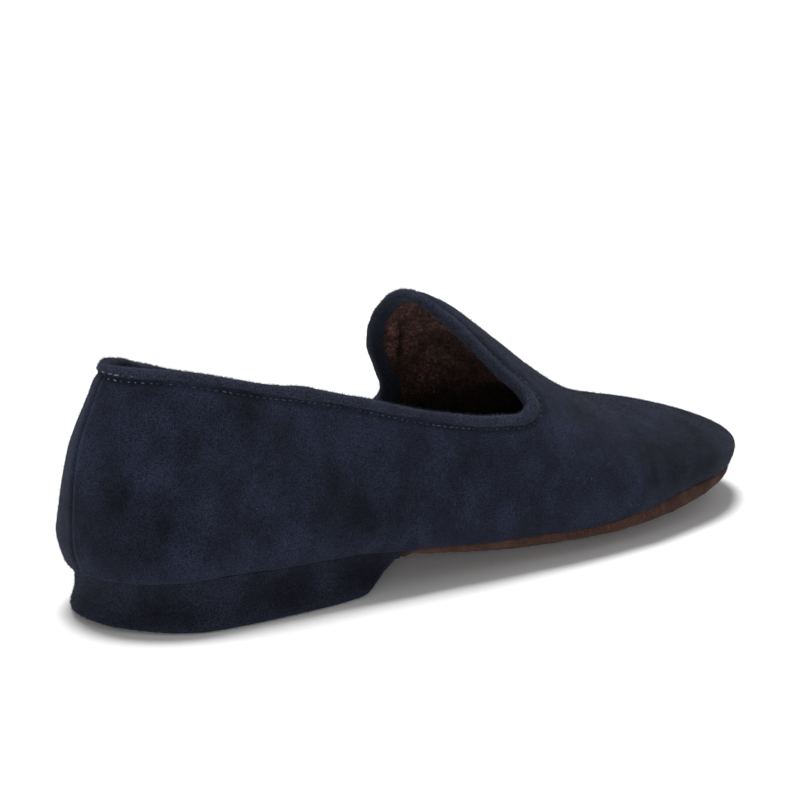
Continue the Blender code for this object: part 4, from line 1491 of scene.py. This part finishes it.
def suede(name, look, brush):
    """Napped suede: brushed patches, fine grain, a few pale specks, soft sheen."""
    material, tree, shader = new_material(name)
    coords = object_coords(tree)
    stretched = add_node(tree, "ShaderNodeMapping", {"Vector": coords, "Scale": BRUSH_SCALE})
    brushed = noise(tree, stretched.outputs["Vector"], BRUSH_NOISE)
    brushed = ranged(tree, brushed, BRUSH_SPAN, (-brush, brush))
    # Dark and light mixed by the point tone, which holds brushing and painted light and shade
    colour = mixed(tree, math_node(tree, "ADD", nap_and_painted_light_value(tree), brushed), look.dark, look.light)
    grain = noise(tree, coords, GRAIN_NOISE)
    colour = varied(tree, colour, grain, GRAIN_SPAN, (1.0 - look.grain, 1.0 + look.grain))
    colour = mixed(tree, speck_mask(tree, coords, SUEDE_SPECKS), colour, look.speck)
    normal = bumped(tree, noise(tree, coords, COARSE_NOISE), COARSE_BUMP, {})
    normal = bumped(tree, grain, GRAIN_BUMP, {"Normal": normal})
    dress(tree, shader, look, SUEDE_FINISH, colour, normal)
    return material


def pile(name, look):
    """Short soft pile: clumped tufts, darker between them."""
    material, tree, shader = new_material(name)
    coords = object_coords(tree)
    patches = ranged(tree, noise(tree, coords, PATCH_NOISE), PATCH_SPAN)
    colour = mixed(tree, patches, look.dark, look.light)
    # The point tone here carries painted shade in the lining's folds and low inside it, and painted light on
    # the folds' ridges
    colour = varied(tree, colour, nap_and_painted_light_value(tree), (0.0, 1.0), PILE_PAINTED_SHADE_RANGE)
    colour = varied(tree, colour, noise(tree, coords, CLUMP_NOISE), CLUMP_SPAN, CLUMP_SHADE)
    tufts = noise(tree, coords, TUFT_NOISE)
    colour = varied(tree, colour, tufts, TUFT_SPAN, (1.0 - look.grain, 1.0 + look.grain))
    colour = mixed(tree, speck_mask(tree, coords, PILE_SPECKS), colour, look.speck)
    normal = bumped(tree, noise(tree, coords, PILE_NOISE), PILE_BUMP, {})
    normal = bumped(tree, tufts, TUFT_BUMP, {"Normal": normal})
    dress(tree, shader, look, PILE_FINISH, colour, normal)
    return material


def thread(name):
    """Twisted sewing thread, navy, paler where it is doubled at the back."""
    material, tree, shader = new_material(name)
    coords = object_coords(tree)
    along = add_node(tree, "ShaderNodeSeparateXYZ", {"Vector": coords}).outputs["X"]
    pale = ranged(tree, along, THREAD_PALE_SPAN, (1.0, 0.0))
    patches = ranged(tree, noise(tree, coords, THREAD_NOISE), THREAD_SPAN)
    colour = mixed(tree, patches, THREAD_DARK, THREAD_LIGHT)
    colour = mixed(tree, math_node(tree, "MULTIPLY", pale, patches), colour, THREAD_PALE)
    feed(tree, shader.inputs["Base Color"], colour)
    feed(tree, shader.inputs["Normal"], bumped(tree, noise(tree, coords, TWIST_NOISE), TWIST_BUMP, {}))
    shader.inputs["Roughness"].default_value = THREAD_ROUGH
    shader.inputs["Specular IOR Level"].default_value = THREAD_SPECULAR
    return material


# Stage

def make_floor():
    """Wide white floor."""
    mesh = bpy.data.meshes.new("floor")
    corners = [(-1, -1), (1, -1), (1, 1), (-1, 1)]
    mesh.from_pydata([(x * FLOOR_HALF, y * FLOOR_HALF, FLOOR_Z) for x, y in corners], [], [(0, 1, 2, 3)])
    material, _, shader = new_material("floor_white")
    shader.inputs["Base Color"].default_value = FLOOR_COLOUR
    shader.inputs["Roughness"].default_value = FLOOR_ROUGH
    shader.inputs["Specular IOR Level"].default_value = 0.0
    mesh.materials.append(material)
    new_object("floor", mesh)


def look_back(direction):
    """Turn of a light or camera that looks against a direction."""
    return (-direction).to_track_quat("-Z", "Y").to_euler()


def add_overhead():
    """A wide soft light from above, leaning a little towards the camera's side."""
    light = bpy.data.lights.new("overhead", "SUN")
    light.energy = OVERHEAD_STRENGTH
    light.angle = math.radians(OVERHEAD_ANGLE)
    obj = new_object("overhead", light)
    obj.rotation_euler = (math.radians(OVERHEAD_LEAN[0]), math.radians(OVERHEAD_LEAN[1]), 0.0)
    obj.location = OVERHEAD_PLACE


def add_fill():
    """A broad soft light from behind the camera."""
    light = bpy.data.lights.new("fill", "AREA")
    light.size = FILL_SIZE
    light.energy = FILL_POWER
    obj = new_object("fill", light)
    obj.location = FILL_PLACE
    obj.rotation_euler = look_back(Vector(FILL_PLACE))


def light_stage():
    """White surroundings and soft lights over the slipper."""
    world = bpy.data.worlds.new("studio")
    world.use_nodes = True
    back = world.node_tree.nodes["Background"]
    back.inputs["Color"].default_value = WHITE
    back.inputs["Strength"].default_value = WORLD_STRENGTH
    bpy.context.scene.world = world
    add_overhead()
    add_fill()
    view = bpy.context.scene.view_settings
    view.view_transform = "Standard"
    view.look = "None"
    view.exposure = 0.0


def make_camera():
    """Camera at the photograph's place: behind the slipper on its right, a little above it."""
    turn, rise = math.radians(VIEW_AZIMUTH), math.radians(VIEW_ELEVATION)
    back = Vector((math.sin(turn) * math.cos(rise), -math.cos(turn) * math.cos(rise), math.sin(rise)))
    data = bpy.data.cameras.new("camera")
    data.lens = VIEW_LENS
    data.sensor_width = VIEW_SENSOR
    camera = new_object("camera", data)
    aim = Vector(into_frame(np.array(VIEW_AIM)).tolist())
    camera.location = aim + back * VIEW_DISTANCE
    camera.rotation_euler = look_back(back)
    bpy.context.scene.camera = camera


def frame_shift():
    """Move from the heel's back to the row frame, whose origin is under the middle of the slipper's box."""
    u = spaced(0, 1, FINE_SAMPLES)
    right = last_point(u, -1, V_SWELL)[:, 1].min()
    left = last_point(u, 1, V_SWELL)[:, 1].max()
    return np.array([-LENGTH / 2, -(right + left) / 2, 0.0])


SHIFT = frame_shift()


def main():
    """Make every piece, the stage and the camera."""
    brown = suede("brown_sole_suede", SOLE_BROWN, SOLE_BRUSH)
    fleece = pile("brown_pile", PILE_BROWN)
    make_upper(suede("navy_suede", NAVY, UPPER_BRUSH))
    make_lining(fleece, pile("brown_pile_tips", PILE_TIPS))
    make_binding(suede("binding_navy_suede", BINDING_NAVY, TRIM_BRUSH))
    make_stitches(thread("sewing_thread"))
    make_outsole(brown)
    make_heel(suede("heel_navy_suede", HEEL_NAVY, TRIM_BRUSH))
    make_top_piece(brown)
    make_insole(fleece)
    make_floor()
    light_stage()
    make_camera()


main()
